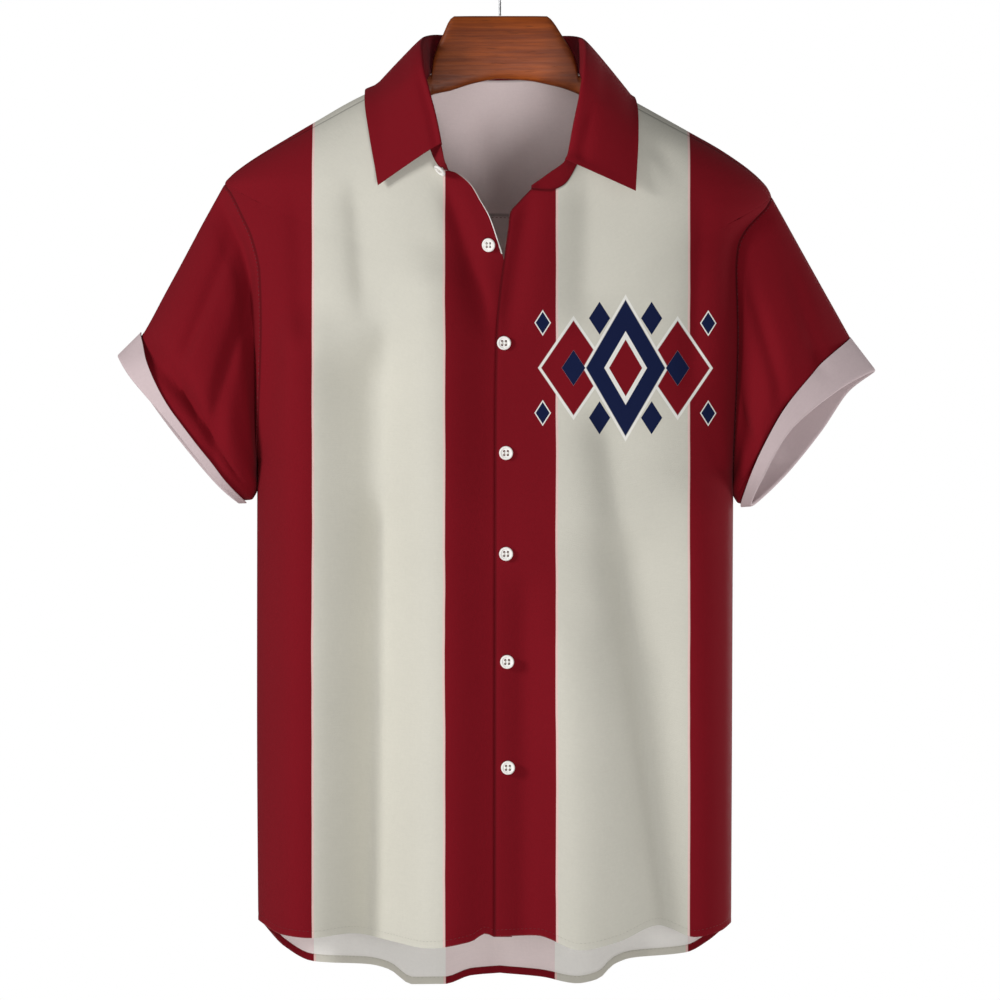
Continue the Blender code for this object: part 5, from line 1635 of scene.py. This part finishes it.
def add_button_thread(bm):
    """Two threads from hole to hole over the button's dished middle, and a stem to the cloth."""
    faces = []
    for x in (-HOLE_SPACING, HOLE_SPACING):
        arch = [Vector((x, y, ARCH_FOOT + ARCH_RISE * math.cos(y / ARCH_SPREAD) ** 2))
                for y in ARCH_PLACES]
        rings = []
        for before, here, after in zip([arch[0]] + arch, arch, arch[1:] + [arch[-1]]):
            turn = (after - before).to_track_quat("Z", "X").to_matrix().to_4x4()
            place = Matrix.Translation(here * MM) @ turn
            rings.append(bmesh.ops.create_circle(bm, segments=ARCH_SIDES, radius=ARCH_RADIUS * MM,
                                                 matrix=place)["verts"])
        faces += skinned(bm, rings)
    stem = rod(bm, STEM_SIDES, STEM_RADIUS, STEM_LENGTH, (0.0, 0.0, STEM_TOP - STEM_LENGTH / 2))
    faces += {face for vert in stem for face in vert.link_faces}
    for face in faces:
        face.material_index = 1


def resting_place(name):
    """Where a button's solid lies: its back's middle, and the way it faces."""
    mesh = bpy.data.objects[name].data
    caps = {}
    for face in mesh.polygons:
        if face.normal.y < 0:
            way = tuple(round(part, 2) for part in face.normal)
            caps[way] = caps.get(way, 0.0) + face.area
    normal = Vector(max(caps, key=caps.get)).normalized()
    middle = sum((vert.co for vert in mesh.vertices), Vector()) / len(mesh.vertices)
    depths = [(vert.co - middle).dot(normal) for vert in mesh.vertices]
    return middle + normal * min(depths), normal


blank = button_mesh()
for name in [f"button_{i}" for i in range(1, 7)] + ["button_collar"]:
    place, normal = resting_place(name)
    turn = normal.to_track_quat("Z", "Y").to_matrix().to_4x4()
    if name == TOP_BUTTON:
        turn = Matrix.Rotation(math.radians(-BUTTON_TILT), 4, TILT_AXIS) @ turn
    else:
        place -= normal * SEWN_DOWN * MM
    mesh = blank.copy()
    mesh.transform(Matrix.Translation(place) @ turn)
    mesh.shade_smooth()
    mesh.set_sharp_from_angle(angle=math.radians(BUTTON_SHARP))
    add_piece(name + "_moulded", mesh, [PLASTIC, PALE_THREAD], "button_plastic", name)


# ---------------------------------------------------------------- hanger

# A section's points and how square it is, and the longest step from one section to the next.
SECTION_POINTS, SECTION_POWER, SECTION_STEP = 40, 3.2, 3.0
Section = namedtuple("Section", "x top bottom half")


def hanger_sections():
    """The hanger solid's sections: X, the highest and lowest point, and half the thickness."""
    sections = {}
    for vert in bpy.data.objects["hanger"].data.vertices:
        sections.setdefault(round(vert.co.x / MM, 2), []).append(vert.co / MM)
    return [Section(x, max(p.z for p in points), min(p.z for p in points),
                    max(abs(p.y) for p in points)) for x, points in sorted(sections.items())]


def hanger_mesh():
    """The hanger's head and arms, rounded on the solid's sections."""
    rows = hanger_sections()
    curves = [Curve(rows, "x", each) for each in ("top", "bottom", "half")]
    places = [rows[0].x]
    for before, after in zip(rows, rows[1:]):
        count = max(1, math.ceil((after.x - before.x) / SECTION_STEP))
        places += even(before.x, after.x, count)
    bm = bmesh.new()
    rings = []
    for x in places:
        top, bottom, half = (curve(x) for curve in curves)
        circle = bmesh.ops.create_circle(bm, segments=SECTION_POINTS, radius=1.0)["verts"]
        for vert in circle:
            y, z = (math.copysign(abs(part) ** (2 / SECTION_POWER), part) for part in vert.co.xy)
            vert.co = Vector((x, y * half, mix(bottom, top, (z + 1) / 2))) * MM
        rings.append(circle)
    skinned(bm, rings)
    return mesh_of("hanger_arms", bm)


add_piece("hanger_arms", hanger_mesh(), [WOOD], "hanger_wood", "hanger")

# The hook's wire: a stem, a bend, then part of a circle, in degrees from +X, round the rail.
WIRE_RADIUS, WIRE_ROUNDING, HOOK_INNER_RADIUS = 1.0, 5, 19.0
Bend = namedtuple("Bend", "x z")
HOOK_BENDS = table(Bend, (0, -59.7), (0, -48), (0, -45.7), (0.8, -43.2), (2.6, -40.8), (5.6, -38.9))
HOOK_TURN = range(-62, 215, 4)


def add_hook():
    """The hook's wire, which goes up from the hanger's head and round the rail."""
    route = [Vector((bend.x, 0.0, bend.z)) for bend in HOOK_BENDS]
    for angle in map(math.radians, HOOK_TURN):
        out = Vector((math.cos(angle), 0.0, math.sin(angle)))
        centre = Vector((0.0, 0.0, -HOOK_INNER_RADIUS))
        route.append(centre + out * (HOOK_INNER_RADIUS + WIRE_RADIUS))
    wire = bpy.data.curves.new("hook_wire", "CURVE")
    wire.dimensions = "3D"
    wire.bevel_depth = WIRE_RADIUS * MM
    wire.bevel_resolution = WIRE_ROUNDING
    wire.use_fill_caps = True
    spline = wire.splines.new("POLY")
    spline.points.add(len(route) - 1)
    for point, place in zip(spline.points, route):
        point.co = (*(place * MM), 1.0)
    add_piece("hook_wire", wire, [STEEL], "hook_steel", "hanger_hook")


add_hook()


# ---------------------------------------------------------------- floor, light and camera

# Sizes here are in metres, and power in watts. The world is white to the camera and a softer
# light from all round.
FLOOR_Z, FLOOR_RADIUS, FLOOR_SIDES = -1.15, 1.5, 64
FILL = 0.16
CAMERA_DISTANCE, SENSOR, CLIP_END = 10.0, 36.0, 100.0
VIEW_WIDTH, VIEW_MIDDLE = 0.85, -0.4714
LIGHTS_AIM = (0.0, 0.0, -0.5)
Lamp = namedtuple("Lamp", "name place size power")
LAMPS = table(
    Lamp,
    ("key", (-2.9, -1.7, 0.45), 1.0, 70),
    ("fill_light", (0.75, -3.15, -1.2), 1.2, 45),
    ("side_light", (3.15, 0.85, -0.7), 1.0, 34),
    ("back_light", (1.6, 3.0, -0.5), 1.4, 34),
)
# A narrow soft beam through the neckline, onto the inside of the yoke.
NECK_LAMP = Lamp("neck_light", (-0.06, -3.2, -0.22), 0.05, 112)
NECK_AIM, NECK_BEAM = (0.036, 0.04, -0.125), 2.6


def add_floor():
    """A pale floor, which is no part of the object."""
    bm = bmesh.new()
    bmesh.ops.create_circle(bm, cap_ends=True, segments=FLOOR_SIDES, radius=FLOOR_RADIUS,
                            matrix=Matrix.Translation((0, 0, FLOOR_Z)))
    floor = bpy.data.objects.new("floor", mesh_of("floor", bm))
    material, nodes, shader = new_material("pale_floor")
    colour = nodes.mix(nodes.noise(nodes.here(), 3.0), linear(232, 232, 230), linear(240, 240, 238))
    nodes.join(shader, {"Base Color": colour, "Roughness": 0.8})
    floor.data.materials.append(material)
    bpy.context.scene.collection.objects.link(floor)
    floor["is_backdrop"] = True


def add_lamp(lamp, kind, aim, **settings):
    """A light of one kind that shines towards a place."""
    light = bpy.data.lights.new(lamp.name, kind)
    light.energy = lamp.power
    for name, value in settings.items():
        setattr(light, name, value)
    made = bpy.data.objects.new(lamp.name, light)
    made.location = lamp.place
    towards = Vector(aim) - Vector(lamp.place)
    made.rotation_euler = towards.to_track_quat("-Z", "Y").to_euler()
    bpy.context.scene.collection.objects.link(made)


def add_world():
    """Light from all round, and white where nothing is seen."""
    world = bpy.data.worlds.new("studio")
    world.use_nodes = True
    bpy.context.scene.world = world
    world.node_tree.nodes.clear()
    nodes = Nodes(world.node_tree)
    fill, seen = (nodes.add("ShaderNodeBackground", {"Color": (1, 1, 1, 1), "Strength": strength})
                  for strength in (FILL, 1.0))
    camera = nodes.add("ShaderNodeLightPath").outputs["Is Camera Ray"]
    both = nodes.add("ShaderNodeMixShader", {0: camera, 1: fill.outputs[0], 2: seen.outputs[0]})
    nodes.add("ShaderNodeOutputWorld", {"Surface": both.outputs[0]})


def add_camera():
    """A distant camera straight in front."""
    data = bpy.data.cameras.new("camera")
    data.sensor_width = SENSOR
    data.lens = SENSOR * CAMERA_DISTANCE / VIEW_WIDTH
    data.clip_end = CLIP_END
    camera = bpy.data.objects.new("camera", data)
    camera.location = (0.0, -CAMERA_DISTANCE, VIEW_MIDDLE)
    camera.rotation_euler = (math.pi / 2, 0.0, 0.0)
    bpy.context.scene.collection.objects.link(camera)
    bpy.context.scene.camera = camera


add_floor()
for lamp in LAMPS:
    add_lamp(lamp, "AREA", LIGHTS_AIM, shape="DISK", size=lamp.size)
add_lamp(NECK_LAMP, "SPOT", NECK_AIM, spot_size=math.radians(NECK_BEAM), spot_blend=1.0,
         shadow_soft_size=NECK_LAMP.size)
add_world()
add_camera()
bpy.context.scene.view_settings.view_transform = "Standard"

boxes = {"cad": cad_box, "visual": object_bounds()}
boxes = {name: [list(corner) for corner in box] for name, box in boxes.items()}
